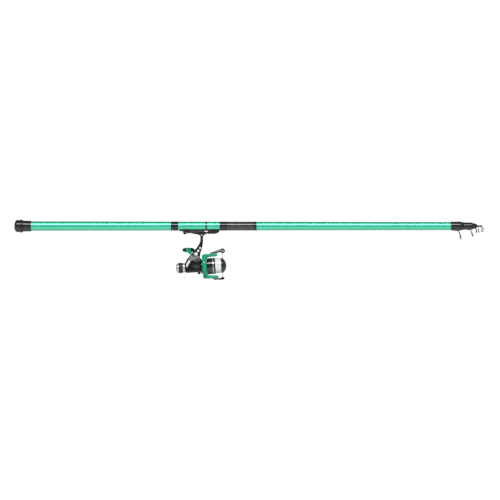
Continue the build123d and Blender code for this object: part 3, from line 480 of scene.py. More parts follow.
def lacquer(name, deep, bright, metallic, specular):
    """Coloured clear-coated lacquer: fine flakes, soft clouds of tone, faint handling marks."""
    paint = Paint(name)
    flakes = paint.node("ShaderNodeTexVoronoi", {"Scale": 2600.0, "Vector": paint.coordinates})
    half_flakes = paint.combine(flakes.outputs["Distance"], 0.5, "MULTIPLY")
    half_clouds = paint.combine(paint.noise(22.0, 5.0), 0.5, "MULTIPLY")
    mixed = paint.combine(half_flakes, half_clouds)
    paint.base(paint.blend(mixed, linear(deep), linear(bright)))
    paint.rough(paint.noise(45.0, 6.0), 0.3, 0.36)
    paint.bump(paint.noise(900.0, 2.0), 0.002, 0.25)
    paint.set(Metallic=metallic, Specular_IOR_Level=specular)
    paint.set(Coat_Weight=1.0, Coat_Roughness=0.14, Coat_IOR=1.45)
    return paint.material


def carbon(name, dark, light, tow=1.6):
    """Wound carbon cloth under gloss: crossing tows at an angle round the blank."""
    paint = Paint(name)
    weave = paint.ramp(paint.combine(*paint.crossed_waves(tow), "SUBTRACT"), [(0.0, 0.0), (0.12, 1.0)])
    grain = paint.noise(700.0, 5.0)
    paint.base(paint.blend(paint.combine(weave, grain, "MULTIPLY"), linear(dark), linear(light)))
    paint.rough(grain, 0.24, 0.4)
    paint.bump(weave, 0.01, 0.4)
    paint.set(Coat_Weight=1.0, Coat_Roughness=0.08, Coat_IOR=1.6)
    return paint.material


def thread_wrap(name, colour, pitch=0.28):
    """Thread wound round the blank under a glossy resin."""
    paint = Paint(name)
    threads = paint.waves(pitch, distortion=0.15)
    drift = paint.noise(60.0)
    paint.base(paint.blend(threads, linear(colour), linear(colour, 2.2, 0.004)))
    paint.rough(drift, 0.2, 0.34)
    paint.bump(paint.combine(threads, paint.combine(drift, 1.6, "MULTIPLY")), 0.02, 0.35)
    paint.set(Coat_Weight=1.0, Coat_Roughness=0.1, Coat_IOR=1.38, Specular_IOR_Level=0.1)
    return paint.material


def moulded(name, colour, low, high, grain=0.012, coat=0.0, edge_wear_and_highlight="3c3e40", specular=0.35):
    """Moulded plastic: fine spark texture, flow shading, lighter edges of rubbed wear and painted highlight.
    """
    paint = Paint(name)
    body = paint.blend(paint.noise(70.0, 5.0), linear(colour), linear(colour, 1.35, 0.002))
    geometry = paint.node("ShaderNodeNewGeometry").outputs
    # convex edges take the lighter edge colour: partly rubbed wear, partly a painted highlight
    edges = paint.ramp(geometry["Pointiness"], [(0.50, 0.0), (0.58, 1.0)])
    rubbed_and_highlit_edges = paint.combine(edges, paint.combine(paint.noise(380.0), 0.30, "MULTIPLY"), "MULTIPLY")
    paint.base(paint.blend(rubbed_and_highlit_edges, body, linear(edge_wear_and_highlight)))
    paint.rough(paint.noise(160.0, 6.0), low, high)
    paint.bump(paint.noise(5200.0, 3.0), grain, 0.5)
    paint.set(Coat_Weight=coat, Coat_Roughness=0.12, Specular_IOR_Level=specular)
    return paint.material


def rubber(name, colour, sheen=0.0, weave=None):
    """Soft rubber with a sheen where hands polish it, and a fine crossed relief where it is held."""
    paint = Paint(name)
    paint.base(paint.blend(paint.noise(120.0, 7.0), linear(colour), linear(colour, 1.6, 0.004)))
    paint.rough(paint.noise(300.0), 0.42, 0.6)
    relief = paint.noise(2600.0, 3.0)
    if weave:
        ridges = paint.combine(*paint.crossed_waves(weave), "MAXIMUM")
        relief = paint.combine(ridges, paint.combine(relief, 0.15, "MULTIPLY"))
    paint.bump(relief, 0.03 if weave else 0.01, 0.4)
    paint.set(Coat_Weight=sheen, Coat_Roughness=0.12, Coat_IOR=1.5, Specular_IOR_Level=0.15)
    return paint.material


def metal(name, colour, low, high, direction=(1, 1, 1), grain=0.006, dirt="2c2a28", metallic=1.0):
    """Metal or metallised plastic, with fine finishing marks and slightly dull hollows."""
    paint = Paint(name)
    marks = paint.noise(1.0, vector=paint.mapped(paint.coordinates, tuple(900.0 * d for d in direction)))
    finish = paint.blend(marks, linear(colour, 0.86), linear(colour))
    grime = paint.ramp(paint.noise(210.0, 6.0), [(0.58, 0.0), (0.82, 0.35)])
    paint.base(paint.blend(grime, finish, linear(dirt)))
    paint.rough(marks, low, high)
    paint.bump(marks, grain, 0.5)
    paint.set(Metallic=metallic)
    return paint.material


def nylon(name, pitch=0.3):
    """Clear line wound in close turns: pale, with fine ridges round the spool."""
    paint = Paint(name)
    along_shaft = paint.mapped(paint.coordinates, rotation=(0, math.atan2(FORWARD.z, FORWARD.x), 0))
    turns = paint.waves(pitch, 0.9, along_shaft)
    clouds = paint.noise(140.0, 5.0)
    paint.base(paint.blend(paint.combine(turns, clouds, "MULTIPLY"), linear("b4bcba"), linear("dce2e0")))
    paint.rough(clouds, 0.16, 0.30)
    paint.bump(turns, 0.07, 0.8)
    paint.set(Coat_Weight=1.0, Coat_Roughness=0.22, Subsurface_Weight=0.05)
    return paint.material


def ceramic(name):
    """Polished dark ring insert."""
    paint = Paint(name)
    paint.base(paint.blend(paint.noise(500.0), linear("1a1b1e"), linear("34363a")))
    paint.rough(paint.noise(900.0), 0.06, 0.16)
    paint.bump(paint.noise(3000.0), 0.002, 0.3)
    paint.set(Coat_Weight=0.6)
    return paint.material


GREEN_LACQUER = lacquer("green_lacquer", "18a07a", "2abf96", 0.62, 1.0)
BLACK_LACQUER = lacquer("black_lacquer", "020203", "070708", 0.0, 0.1)
CARBON = carbon("carbon_blank", "0a0a0b", "2a2b2e")
WRAP = thread_wrap("black_wrap", "0c0c0e")
PALE_WRAP = thread_wrap("pale_wrap", "3fae8c")
GRIP = rubber("grip_rubber", "1a1919", 1.0, weave=1.5)
CAP_RUBBER = rubber("cap_rubber", "050605", 0.8)
PAD_RUBBER = rubber("pad_rubber", "3a3835")
# each moulded plastic's lighter edge colour is rubbed wear and a painted highlight on its convex edges
BLACK_PLASTIC = moulded("black_plastic", "101112", 0.34, 0.5)
SEAT_PLASTIC = moulded("seat_plastic", "0c0d0e", 0.26, 0.4, edge_wear_and_highlight="34363a")
GRAPHITE = moulded("graphite", "0b0c0c", 0.24, 0.36, coat=0.15, specular=0.3)
GLOSS_BLACK = moulded("gloss_black", "080809", 0.12, 0.22, 0.004, 0.5, "303234", 0.3)
GREEN_PLASTIC = moulded("green_plastic", "007b5a", 0.28, 0.4, 0.012, 0.2, "3cbf96", 0.12)
GREEN_ENAMEL = moulded("green_enamel", "0f9a74", 0.2, 0.3, 0.006, 0.4, "4fc8a0", 0.2)
SILVER = metal("silver_trim", "c2c4c5", 0.26, 0.34, dirt="8c8e90", metallic=0.75)
SATIN = metal("satin_trim", "8a8d8d", 0.3, 0.42, dirt="6c6e6e", metallic=0.6)
BRIGHT = metal("bright_trim", "dfe2e2", 0.26, 0.34, dirt="b4b6b6", metallic=0.55)
CHROME = metal("chrome", "b8b4b6", 0.08, 0.18, grain=0.002)
STEEL = metal("ground_steel", "b9bbbe", 0.22, 0.36, direction=(0.2, 1, 1))
DARK_METAL = metal("dark_metal", "3a3b3e", 0.24, 0.4)
BRASS = metal("brass", "c9a252", 0.22, 0.36)
ZINC = metal("cast_zinc", "a4a6a9", 0.35, 0.5, grain=0.02)
LINE = nylon("nylon_line")
CERAMIC = ceramic("ceramic")


def finish(piece, material, body, slot, *nodes):
    """Paint a piece, let it ride on its body and stand for its CAD nodes."""
    piece.data.materials.append(material)
    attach(piece, body)
    if nodes:
        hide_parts(*nodes)
    return piece


def repaint(node, material):
    """Give a CAD node that keeps its shape a finished material."""
    piece = frame["nodes"][node]
    piece.data.materials.clear()
    piece.data.materials.append(material)


# ---------------------------------------------------------------- finished shapes of CAD nodes


def node_points(node):
    """The corner points of a CAD node at rest, in millimetres."""
    thing = frame["nodes"][node]
    return [thing.matrix_world @ vertex.co / MM for vertex in thing.data.vertices]


def outline_of(node, spindle=ROD, side=1):
    """(distance, radius) points of a turned CAD node's outer face, or of its bore with side=-1."""
    thing = frame["nodes"][node]
    points = node_points(node)
    rotation = thing.matrix_world.to_3x3()
    found = {}
    for polygon in thing.data.polygons:
        normal = (rotation @ polygon.normal).normalized()
        for index in polygon.vertices:
            offset = points[index] - spindle.origin
            distance = offset.dot(spindle.along)
            spoke = offset - spindle.along * distance
            if normal.dot(spoke) * side > 0.02 * spoke.length:
                key = round(distance, 2)
                found[key] = max(spoke.length, found.get(key, 0.0))
    stations = sorted(found.items())
    corners = stations[:1]
    for here, after in zip(stations[1:], stations[2:]):
        before = corners[-1]
        straight = before[1] + (after[1] - before[1]) * (here[0] - before[0]) / (after[0] - before[0])
        if abs(here[1] - straight) > 0.01:
            corners.append(here)
    return corners + stations[-1:]


def along_table(table, x):
    """A value between the rows of a (place, value) table."""
    for (x0, y0), (x1, y1) in zip(table, table[1:]):
        if x <= x1:
            t = max(0.0, (x - x0) / (x1 - x0))
            return y0 + (y1 - y0) * t
    return table[-1][1]


def turn(node, spindle, profile, material, body, slot, corner=0.3, segments=96, **shape):
    """A CAD node as a turned piece."""
    piece = lathe(node + "_form", spindle, profile, corner, segments, **shape)
    finish(piece, material, body, slot, node)


def sleeve(node, material, body, slot, corner=0.25, segments=96):
    """A turned sleeve with rolled edges, over the length of a CAD sleeve."""
    bore = outline_of(node, side=-1)
    profile = outline_of(node) + [bore[-1], bore[0]]
    turn(node, ROD, profile, material, body, slot, corner, segments, closed=True)


def assemble(node, parts, material, body, slot, smooth_angle=35):
    """A CAD node as several parts that touch."""
    finish(shade(join(node + "_form", parts), smooth_angle), material, body, slot, node)


def mould(node, parts, cutters, voxel, smoothing, material, body, slot):
    """A CAD node as overlapping parts cast into one, with its holes cut and its edges filleted."""
    if cutters:
        parts = [cut(melt(node + "_blank", parts, voxel, 0), cutters, "MANIFOLD")]
    finish(melt(node + "_form", parts, voxel, smoothing), material, body, slot, node)


def recast(node, material, body, voxel, smoothing):
    """A CAD node's own shape with its edges filleted, in black plastic."""
    thing = frame["nodes"][node]
    copy = in_scene(node + "_copy", thing.data.copy())
    copy.data.transform(thing.matrix_world)
    copy.data.materials.clear()
    mould(node, [copy], [], voxel, smoothing, material, body, "black_plastic")


# ---------------------------------------------------------------- rod

cap_rear = span("butt_cap")[0].x
CAP_GROOVES = (16.2, 17.9, 19.6)
CAP_PROFILE = [
    (1.4, 0.0), (1.4, 1.6), (0.0, 2.0), (0.0, 6.3), (0.5, 8.8), (1.4, 11.1), (2.7, 13.3), (4.6, 14.9),
    (7.0, 15.8), (11.5, 15.8), (12.1, 15.1), (13.5, 15.1), (14.3, 16.6),
]
for groove in CAP_GROOVES:
    CAP_PROFILE += [(groove + x, r) for x, r in ((-0.4, 16.6), (-0.15, 16.15), (0.15, 16.15), (0.4, 16.6))]
CAP_PROFILE += [(20.9, 16.6), (21.8, 14.6), (21.8, 10.6), (28.7, 10.6), (28.7, 7.9), (23.7, 7.9), (23.7, 0.0)]
cap_profile = [(cap_rear + x, r) for x, r in CAP_PROFILE]
turn("butt_cap", ROD, cap_profile, CAP_RUBBER, "rod", "cap_rubber", 0.35, 128)

butt_outline = outline_of("butt_tube")
sleeve("butt_collar", CAP_RUBBER, "rod", "cap_rubber", 0.5)
sleeve("butt_tube", GREEN_LACQUER, "rod", "green_blank", 0.1, 160)
sleeve("rear_band", BLACK_LACQUER, "rod", "black_gloss")
sleeve("ring_band", BLACK_LACQUER, "rod", "black_gloss")
sleeve("grip_sleeve", GRIP, "rod", "grip_rubber", segments=128)
sleeve("butt_tip_wrap", WRAP, "rod", "black_gloss", 0.6)
sleeve("section_2_tube", CARBON, "section_2", "carbon", 0.1)
sleeve("section_2_wrap", WRAP, "section_2", "black_gloss", 0.6)
sleeve("section_3_tube", CARBON, "section_3", "carbon", 0.1)
sleeve("section_3_wrap", WRAP, "section_3", "black_gloss", 0.5)
tip_outline = outline_of("tip_blank")
tip_profile = [(tip_outline[0][0], 0), *tip_outline, (tip_outline[-1][0], 0)]
turn("tip_blank", ROD, tip_profile, CARBON, "tip", "carbon", 0.2, 48)


def band_section(near, far, near_top, far_top, sink=0.0):
    """A closed section on the butt section's skin, up to a radius at each end."""
    return [(near, along_table(butt_outline, near) - sink), (near, near_top),
            (far, far_top), (far, along_table(butt_outline, far) - sink)]


def trim_line(name, x, width=0.6, rise=0.14):
    """A thin pale turn of thread beside a band."""
    near, far = x - width / 2, x + width / 2
    tops = [along_table(butt_outline, place) + rise for place in (near, far)]
    line = lathe(name, ROD, band_section(near, far, *tops, sink=0.2), 0.12, closed=True)
    finish(line, PALE_WRAP, "rod", "silver_plastic")


TRIM_GAP = 0.4
grip_low, grip_high = span("grip_wraps")
sleeve_low, sleeve_high = span("grip_sleeve")
band_low, band_high = span("rear_band")
trim_line("band_trim_rear", band_low.x - TRIM_GAP)
trim_line("band_trim_front", band_high.x + TRIM_GAP)
trim_line("grip_trim_rear", grip_low.x - 0.28, 0.4)
trim_line("grip_trim_front", grip_high.x + TRIM_GAP)

wraps = []
for near, far, radius in (
    (grip_low.x, sleeve_low.x, grip_high.y), (sleeve_high.x, grip_high.x, grip_high.y - 0.1),
):
    wraps.append(lathe("grip_wrap", ROD, band_section(near, far, radius, radius), 0.25, closed=True))
assemble("grip_wraps", wraps, WRAP, "rod", "black_gloss")

# ---------------------------------------------------------------- line guides


def ring_place(node):
    """The spindle of a thin ring that leans along the rod, and its outer and inner radius."""
    points = node_points(node)
    low, high = span(node)
    centre = (low + high) / 2
    spread = [(p.x - centre.x, p.z - centre.z) for p in points]
    sxx, szz = sum(x * x for x, z in spread), sum(z * z for x, z in spread)
    sxz = sum(x * z for x, z in spread)
    lean = 0.5 * math.atan2(2 * sxz, sxx - szz)
    normal = Vector((math.cos(lean), 0, math.sin(lean)))
    if szz > sxx:
        normal = Vector((math.sin(lean), 0, -math.cos(lean)))
    if normal.x < 0:
        normal = -normal
    radii = [((p - centre) - normal * (p - centre).dot(normal)).length for p in points]
    return Spindle(centre, normal, (0, 1, 0)), max(radii), min(radii)


def ring_section(radius, half_width, height):
    """A rounded section of a ring, as (distance, radius) points round it."""
    box = [(-half_width, radius), (-half_width, radius + height), (half_width, radius + height),
           (half_width, radius)]
    return rounded(box, 0.45 * min(2 * half_width, height), closed=True)


def strut(start, end, thick, wide, waist=0.8, stations=12):
    """A flattened leg between two points, slimmer at its middle and wider at both ends."""
    start = Vector(start)
    direction = (end - start).normalized()
    side = Vector((0, 1, 0))
    other = direction.cross(side)
    rings = []
    for index in range(stations + 1):
        t = index / stations
        flare = 1 + (1 / waist - 1) * abs(2 * t - 1) ** 2
        rings.append([start.lerp(end, t) + side * math.cos(a) * wide * flare + other * math.sin(a) * thick
                      for a in circle(16)])
    return loft("strut", rings, smooth_angle=60)


# along the rod, half-width, rise
GUIDE_FOOT = ((-9, 0.7, 0.2), (-7, 1.3, 0.6), (-3, 1.5, 0.95), (0, 1.5, 1.1), (0.9, 1.2, 0.8))


def guide_foot(foot_x, foot_r):
    """A guide's flat foot on the underside of its tube."""
    rings = []
    for x, half, rise in GUIDE_FOOT:
        ring = []
        for a in circle(16):
            z = -foot_r + 0.3 - max(0, math.sin(a)) * (rise + 0.3) - min(0, math.sin(a)) * 0.6
            ring.append(Vector((foot_x + x, math.cos(a) * half, z)))
        rings.append(ring)
    return loft("foot", rings, smooth_angle=60)


def guide(name, body, others, foot, leg, hoop=(0.9, 0.8), into_hoop=0.3):
    """A guide: its frame of a hoop, a leg from the foot and other parts, and its polished ring insert."""
    ring_node = name + "_ring"
    spindle, outer, inner = ring_place(ring_node)
    uphill = spindle.up if spindle.up.z > 0 else -spindle.up
    parts = [lathe("hoop", spindle, ring_section(outer, *hoop), 0.0, 64, closed=True, smooth_angle=50),
             strut(foot, spindle.origin + uphill * (outer + into_hoop), *leg)]
    assemble(name + "_frame", parts + others, DARK_METAL, body, "guide_metal", 50)
    turn(ring_node, spindle, ring_section(inner, 1.0, outer - inner), CERAMIC, body, "ceramic", 0.0, 64,
         closed=True, smooth_angle=50)


# name, body, the leg's place along the rod, the tube's radius there and the leg's half thickness
for name, body, foot_x, foot_r, thick in (
    ("guide_1", "rod", 656.9, 11.7, 1.2), ("guide_2", "section_2", 687.6, 9.2, 1.1),
    ("guide_3", "section_3", 700.6, 6.3, 0.9),
):
    # the third guide's foot is hidden in its wrap
    others = [] if name == "guide_3" else [guide_foot(foot_x, foot_r)]
    guide(name, body, others, (foot_x, 0, -foot_r + 0.4), (thick, 1.5 * thick), (1.15, 1.15), 0.5)


# how far a lashing's bulge spreads round the tube, in radians
LASHING_WIDTH = 0.28


def lashing(name, body, start, length, radius, rise):
    """Thread over a guide's foot: a bulge on the underside of the wrap."""
    rings = []
    for index in range(9):
        t = index / 8
        swell = rise * math.sin(math.pi * t) ** 0.7
        radii = [(radius + swell * math.exp(-((a - math.pi) / LASHING_WIDTH) ** 2), a) for a in circle(64)]
        rings.append([ROD.at(start + length * t, r, a) for r, a in radii])
    finish(loft(name, rings, capped=False, smooth_angle=60), WRAP, body, "black_gloss")


# from a place along the rod: length, radius and rise
lashing("guide_1_lashing", "rod", 647.0, 7.6, 11.54, 1.15)
lashing("guide_2_lashing", "section_2", 678.2, 7.4, 9.32, 1.1)

# The sliding guide has a short tube on the tip blank, the tip top a socket on its end and a wire hoop.
SMALL_LEG = (0.7, 1.1)
SLIDE_TUBE = [(706.0, 1.75), (706.0, 2.25), (706.8, 2.45), (710.4, 2.45), (711.2, 2.25), (711.2, 1.75)]
guide("sliding_guide", "sliding_guide", [lathe("slide_tube", ROD, SLIDE_TUBE, 0.2, 48, closed=True)],
      (708.0, 0, -2.0), SMALL_LEG)
TIP_SOCKET = [(711.8, 1.42), (711.8, 2.05), (712.4, 2.2), (717.8, 2.2), (718.6, 1.6), (718.6, 0.0)]
HOOP_PATH = ((717.2, 0, -1.4), (720.3, 0, -4.0), (722.1, 0, -9.0), (721.0, 0, -13.2), (717.3, 0, -14.6))
guide("tip_top", "tip", [lathe("tip_socket", ROD, TIP_SOCKET, 0.25, 48),
                         tube("tip_wire", smooth_path(HOOP_PATH, 6), 0.65, 12)], (717.0, 0, -1.6), SMALL_LEG)

# ---------------------------------------------------------------- reel seat

SADDLE_RADIUS = 11.56
SADDLE_SPAN = 40
SEAT_WINDOW = [(7.7, -16), (7.7, -12.3), (16.6, -12.3), (16.6, -16)]
plate_low, plate_high = span("seat_plate")
plate_half = plate_high.y
plate_section = [(math.sin(a) * SADDLE_RADIUS, -math.cos(a) * SADDLE_RADIUS)
                 for a in (math.radians(-SADDLE_SPAN + 2 * SADDLE_SPAN * k / 24) for k in range(25))]
plate_section += [(plate_half, plate_low.z + 2.2, 0.8), (plate_half - 1.4, plate_low.z, 0.8),
                  (-plate_half + 1.4, plate_low.z, 0.8), (-plate_half, plate_low.z + 2.2, 0.8)]
plate = prism("seat_plate_form", ROD_SECTION, plate_section, plate_low.x, plate_high.x, 0.3, 0.3)
cut(plate, [block(ROD_SIDE, SEAT_WINDOW, -10, 10)])
finish(plate, SEAT_PLASTIC, "rod", "black_plastic", "seat_plate")
recast("fixed_hood", SEAT_PLASTIC, "rod", 0.3, 8)
recast("sliding_hood", SEAT_PLASTIC, "hood", 0.25, 5)
recast("hood_lever", SEAT_PLASTIC, "lock_lever", 0.2, 5)

# ---------------------------------------------------------------- reel body

HOUSING = [
    (-30.5, -11.8, 2.0), (-30.5, 10.5, 4.0), (-24.5, 21.5, 4.0), (-15.0, 31.0, 3.0), (7.5, 25.4, 4.0),
    (12.5, 19.0, 2.0), (12.5, -13.6, 1.0), (-28.0, -13.6, 2.0),
]
STEM = [
    (-2.9, -24.0), (-2.8, -38.0), (-4.2, -41.5), (-6.4, -45.8), (-9.0, -50.9), (-12.0, -55.4),
    (-16.6, -60.0), (-21.8, -66.0), (-26.9, -74.0), (-30.5, -80.5), (-4.8, -82.0), (-3.6, -76.0),
    (-3.3, -71.4), (-0.8, -62.5), (2.0, -53.5), (3.3, -45.8), (3.9, -38.0), (3.9, -24.0),
]
# along the rod, height, radius
STEM_HOLES = ((-3.6, -56.1, 2.3), (-8.4, -63.2, 2.9), (-13.6, -71.2, 3.8), (0.5, -23.2, 1.5))
# along the rod, half-width, underside
FOOT = (
    (-36.0, 2.4, -14.9), (-35.2, 3.9, -15.5), (-32.0, 5.6, -16.4), (-29.0, 6.5, -17.4), (-24.0, 7.0, -19.2),
    (-16.6, 7.5, -20.6), (-8.0, 7.7, -22.3), (-4.2, 7.2, -24.6), (-1.0, 6.0, -27.6), (1.8, 6.0, -27.8),
    (5.0, 7.0, -24.9), (10.0, 7.4, -21.2), (17.0, 6.8, -18.7), (24.0, 6.5, -17.0), (29.5, 6.2, -16.1),
    (32.6, 4.6, -15.5), (34.0, 2.8, -14.9),
)
FOOT_CROWN = 0.9
FOOT_EDGE = -13.6 - FOOT_CROWN
FOOT_NOTCH = [(7.9, -12), (8.6, -14.6), (15.7, -14.6), (16.4, -12)]
SHAFT_SEATS = [(10.4, 0), (10.4, 16.2), (14.5, 16.2), (14.5, 8.05), (19.65, 8.05), (19.65, 6.0), (21.5, 6.0),
               (21.5, 0)]


def round_hole(x, z, radius):
    """A cutter for a hole across the rod's upright plane."""
    return cylinder(Spindle((x, 0, z), (0, 1, 0), (1, 0, 0)), -16, 16, radius)


def foot_ring(x, half, under):
    """A section of the reel's foot: flat above, rounded below."""
    ring = []
    for a in circle(28):
        c, s = math.cos(a), math.sin(a)
        z = FOOT_EDGE + (FOOT_CROWN * min(1, 2.2 * s) if s > 0 else 0.0)
        if s < 0:
            z = FOOT_EDGE + (under - FOOT_EDGE) * abs(s) ** 0.8
        ring.append(Vector((x, half * math.copysign(abs(c) ** 0.75, c), z)))
    return ring


def build_reel_body():
    far_wall, near_face, wall = -12.0, 12.0, 2.2
    parts = [
        prism("housing", REEL_SIDE, HOUSING, far_wall, near_face, 3.0, 0.2, 5),
        prism("stem", ROD_SIDE, STEM, -4.6, 4.6, 1.9, 1.9, 4, 1.5),
        loft("foot", [foot_ring(*row) for row in FOOT]),
        cylinder(SHAFT, 9.5, 20.0, 17.5, 96, 0.8),
    ]
    cutters = [
        block(REEL_SIDE, inset(HOUSING, wall), far_wall + wall, near_face + 4),
        lathe("shaft_seats", SHAFT, SHAFT_SEATS, 0.0, 64),
        cylinder(SHAFT, -33, -26, 3.3, 32),
        cylinder(CRANK_AXIS, 8, 14, 6.1),
        block(ROD_SIDE, FOOT_NOTCH, -10, 10),
        *(round_hole(*hole) for hole in STEM_HOLES),
    ]
    mould("reel_body", parts, cutters, 0.4, 4, GRAPHITE, "rod", "graphite")


build_reel_body()

COVER = [
    (-30.3, -11.6, 2.0), (-30.3, 10.4, 4.0), (-24.4, 21.3, 4.0), (-15.0, 30.7, 3.0), (7.4, 25.2, 4.0),
    (12.3, 18.9, 2.0), (12.3, -13.4, 1.0), (-27.9, -13.4, 2.0),
]
BOSS_R = 12.8
BOSS = [
    (-12.0, 0), (-12.0, BOSS_R + 0.6), (-14.4, BOSS_R + 0.2), (-15.2, BOSS_R - 0.8), (-16.6, BOSS_R - 1.4),
    (-17.2, BOSS_R - 2.6), (-17.2, 8.2), (-16.7, 7.8), (-16.7, 6.0), (-17.2, 0),
]
cover_parts = [
    prism("cover_shell", REEL_SIDE, COVER, 12.0, 14.3, 0.1, 1.5, 4),
    prism("cover_field", REEL_SIDE, inset(COVER, 3.4), 12.4, 15.0, 0.1, 0.8),
    lathe("cover_boss", CRANK_AXIS, BOSS, 0.4),
]
seats = [cylinder(CRANK_AXIS, -11, -19, 6.05), cylinder(SHAFT, 9.3, 30, 17.55, 96)]
mould("side_cover", cover_parts, seats, 0.3, 3, GLOSS_BLACK, "rod", "black_plastic")

BOSS_CAP = [(-15.4, 0), (-15.4, 5.9), (-17.0, 5.9), (-17.0, 7.4), (-17.7, 7.2), (-18.2, 5.6), (-18.3, 3.0),
            (-18.0, 2.6), (-18.0, 0)]
turn("boss_cap", CRANK_AXIS, BOSS_CAP, GLOSS_BLACK, "rod", "black_plastic", 0.3, 64)

# a satin plate let into the foot of the stem, above the cover's bright strip
STEM_PLATE = [(-27.4, -82.0, 0.8), (-5.6, -80.4, 1.5), (-10.6, -74.2, 2.0), (-17.5, -65.6, 1.2)]
stem_plate = prism("stem_plate", ROD_SIDE, STEM_PLATE, 3.6, 4.95, 0.1, 0.3, 2)
hole_x, hole_z, hole_radius = STEM_HOLES[2]
cut(stem_plate, [round_hole(hole_x, hole_z, hole_radius + 0.5)])
finish(stem_plate, SATIN, "rod", "silver_plastic")

# bright piping along the cover's front shoulder
PIPING = ((-6.0, 28.3), (2.0, 26.2), (7.0, 24.3), (10.3, 20.9), (11.3, 17.6))
pipe_path = smooth_path([REEL_SIDE.flat(u, w, 14.5) for u, w in PIPING], 8)
pipe_radii = [0.62 * math.sin(math.pi * (0.06 + 0.88 * k / (len(pipe_path) - 1))) ** 0.5
              for k in range(len(pipe_path))]
finish(tube("cover_piping", pipe_path, pipe_radii, 12), SATIN, "rod", "silver_plastic")

# a bright strip along the cover's rear edge, and a satin plate from its top to the stem
TRIM_STRIP = [
    (-27.7, 1.2, 0.8), (-27.9, 8.4, 2.0), (-23.6, 14.6, 2.0), (-21.0, 18.5, 0.6), (-15.6, 16.2, 0.8),
    (-17.2, 12.4, 2.0), (-21.4, 7.0, 3.0), (-24.6, 1.6, 1.0),
]
TOP_PLATE = [
    (-20.7, 18.9, 0.6), (-18.4, 23.4, 2.0), (-15.6, 27.4, 2.0), (-12.4, 28.4, 1.0), (4.6, 24.2, 1.0),
    (3.8, 22.2, 1.0), (-1.1, 20.4, 2.0), (-4.2, 18.6, 2.0), (-10.5, 17.5, 3.0), (-15.4, 16.5, 0.6),
]
trim = prism("cover_trim_form", REEL_SIDE, TRIM_STRIP, 13.6, 15.7, 0.1, 0.5)
finish(trim, BRIGHT, "rod", "silver_plastic", "cover_trim")
finish(prism("cover_top_plate", REEL_SIDE, TOP_PLATE, 13.6, 15.4, 0.1, 0.4), SATIN, "rod", "silver_plastic")


def screw(name, spindle, head, radius, rise, slot_width=0.5):
    """A domed cross-head screw whose head starts at a distance along a spindle."""
    profile = [(head - 0.6, 0), (head - 0.6, radius), (head + 0.35 * rise, radius),
               (head + rise, 0.55 * radius), (head + rise, 0)]
    long, short = 0.6 * radius, slot_width / 2
    cross = [block(spindle, [(-a, -b), (a, -b), (a, b), (-a, b)], head + 0.3 * rise, head + 3)
             for a, b in ((long, short), (short, long))]
    return cut(lathe(name, spindle, profile, 0.25, 32), cross)


SCREW_PLACES = ((-26.0, -10.2), (6.5, -10.6), (4.6, 23.2))
heads = [screw("cover_screw", Spindle(at_reel(u, 0, w), (0, -1, 0), FORWARD), 14.2, 1.9, 0.9)
         for u, w in SCREW_PLACES]
assemble("cover_screws", heads, DARK_METAL, "rod", "steel")

for node, material in (
    ("butt_pad", PAD_RUBBER), ("crank_bushes", BRASS), ("pinion_bearing", STEEL), ("oscillation_axle", STEEL),
    ("drag_washers", STEEL), ("main_shaft", STEEL), ("drag_screw", STEEL), ("drive_gear", ZINC),
    ("oscillation_gear", ZINC), ("oscillation_block", BLACK_PLASTIC), ("pinion", BRASS),
    ("rotor_nut", DARK_METAL),
):
    repaint(node, material)

# ---------------------------------------------------------------- rotor

ROTOR_OUT = ((13.8, 27.6), (15.2, 29.8), (17.4, 31.2), (20.0, 31.7), (46.0, 31.7), (50.0, 31.5), (53.4, 30.9))
ROTOR_IN = ((13.8, 18.6), (23.0, 19.0), (25.4, 21.5), (29.0, 23.6), (34.0, 24.4), (46.0, 25.0), (53.4, 25.8))
ROTOR_WIDE = ((13.8, 9.4), (22.0, 9.6), (30.0, 9.0), (46.0, 8.6), (50.0, 8.2), (53.4, 6.8))
ROTOR_CUP = [(13.8, 18.4), (13.8, 24.5), (15.0, 26.2), (16.6, 27.0), (22.8, 27.0), (24.6, 25.2), (24.6, 4.05),
             (20.6, 4.05), (20.6, 18.4)]


def rotor_arm(angle):
    """One arm: a curved bar along the shaft, on the side that the angle points to."""
    rings = []
    for u in sorted({x for table in (ROTOR_OUT, ROTOR_IN, ROTOR_WIDE) for x, _ in table}):
        outer, inner, half = (along_table(table, u) for table in (ROTOR_OUT, ROTOR_IN, ROTOR_WIDE))
        edge = [-half, -half / 2, 0, half / 2, half]
        outline = [(s, inner, 1.2 if abs(s) == half else 0.0) for s in edge]
        outline += [(s, outer, 2.2 if abs(s) == half else 0.0) for s in reversed(edge)]
        rings.append([SHAFT.at(u, r, angle + s / 28.0) for s, r in rounded(outline, 0.0, closed=True)])
    return loft("rotor_arm", rings)


rotor_cup = lathe("rotor_cup", SHAFT, ROTOR_CUP, 0.8, 128, closed=True)
rotor_parts = [rotor_cup, rotor_arm(0.0), rotor_arm(math.pi)]
mould("rotor", rotor_parts, [], 0.45, 6, GREEN_PLASTIC, "rotor", "green_plastic")

# ---------------------------------------------------------------- spool

SPOOL = [
    (25.3, 18.6), (25.3, 20.0), (26.0, 20.5), (28.0, 20.5), (28.3, 20.2), (28.7, 20.2), (29.0, 20.5),
    (45.6, 20.5), (46.3, 19.8), (46.3, 12.0), (62.0, 12.0), (62.0, 18.6), (62.7, 19.3), (64.4, 19.3),
    (66.0, 18.8), (67.8, 17.5), (69.4, 15.6), (69.6, 15.1), (70.0, 15.0), (71.8, 12.4), (73.0, 10.4),
    (73.6, 9.2), (73.6, 6.2), (73.2, 5.62), (60.4, 5.62), (60.4, 2.55), (42.0, 2.55), (42.0, 8.0),
    (44.0, 10.0), (44.0, 18.6),
]
turn("spool_body", SHAFT, SPOOL, GLOSS_BLACK, "spool", "black_gloss", 0.3, 144, closed=True)

ring_u = outline_of("skirt_ring", SHAFT)[0][0]
RING = [(ring_u, 20.45), (ring_u + 0.2, 20.85), (ring_u + 1.8, 20.85), (ring_u + 2.0, 20.45)]
turn("skirt_ring", SHAFT, RING, SILVER, "spool", "silver_plastic", 0.15, 144, closed=True)

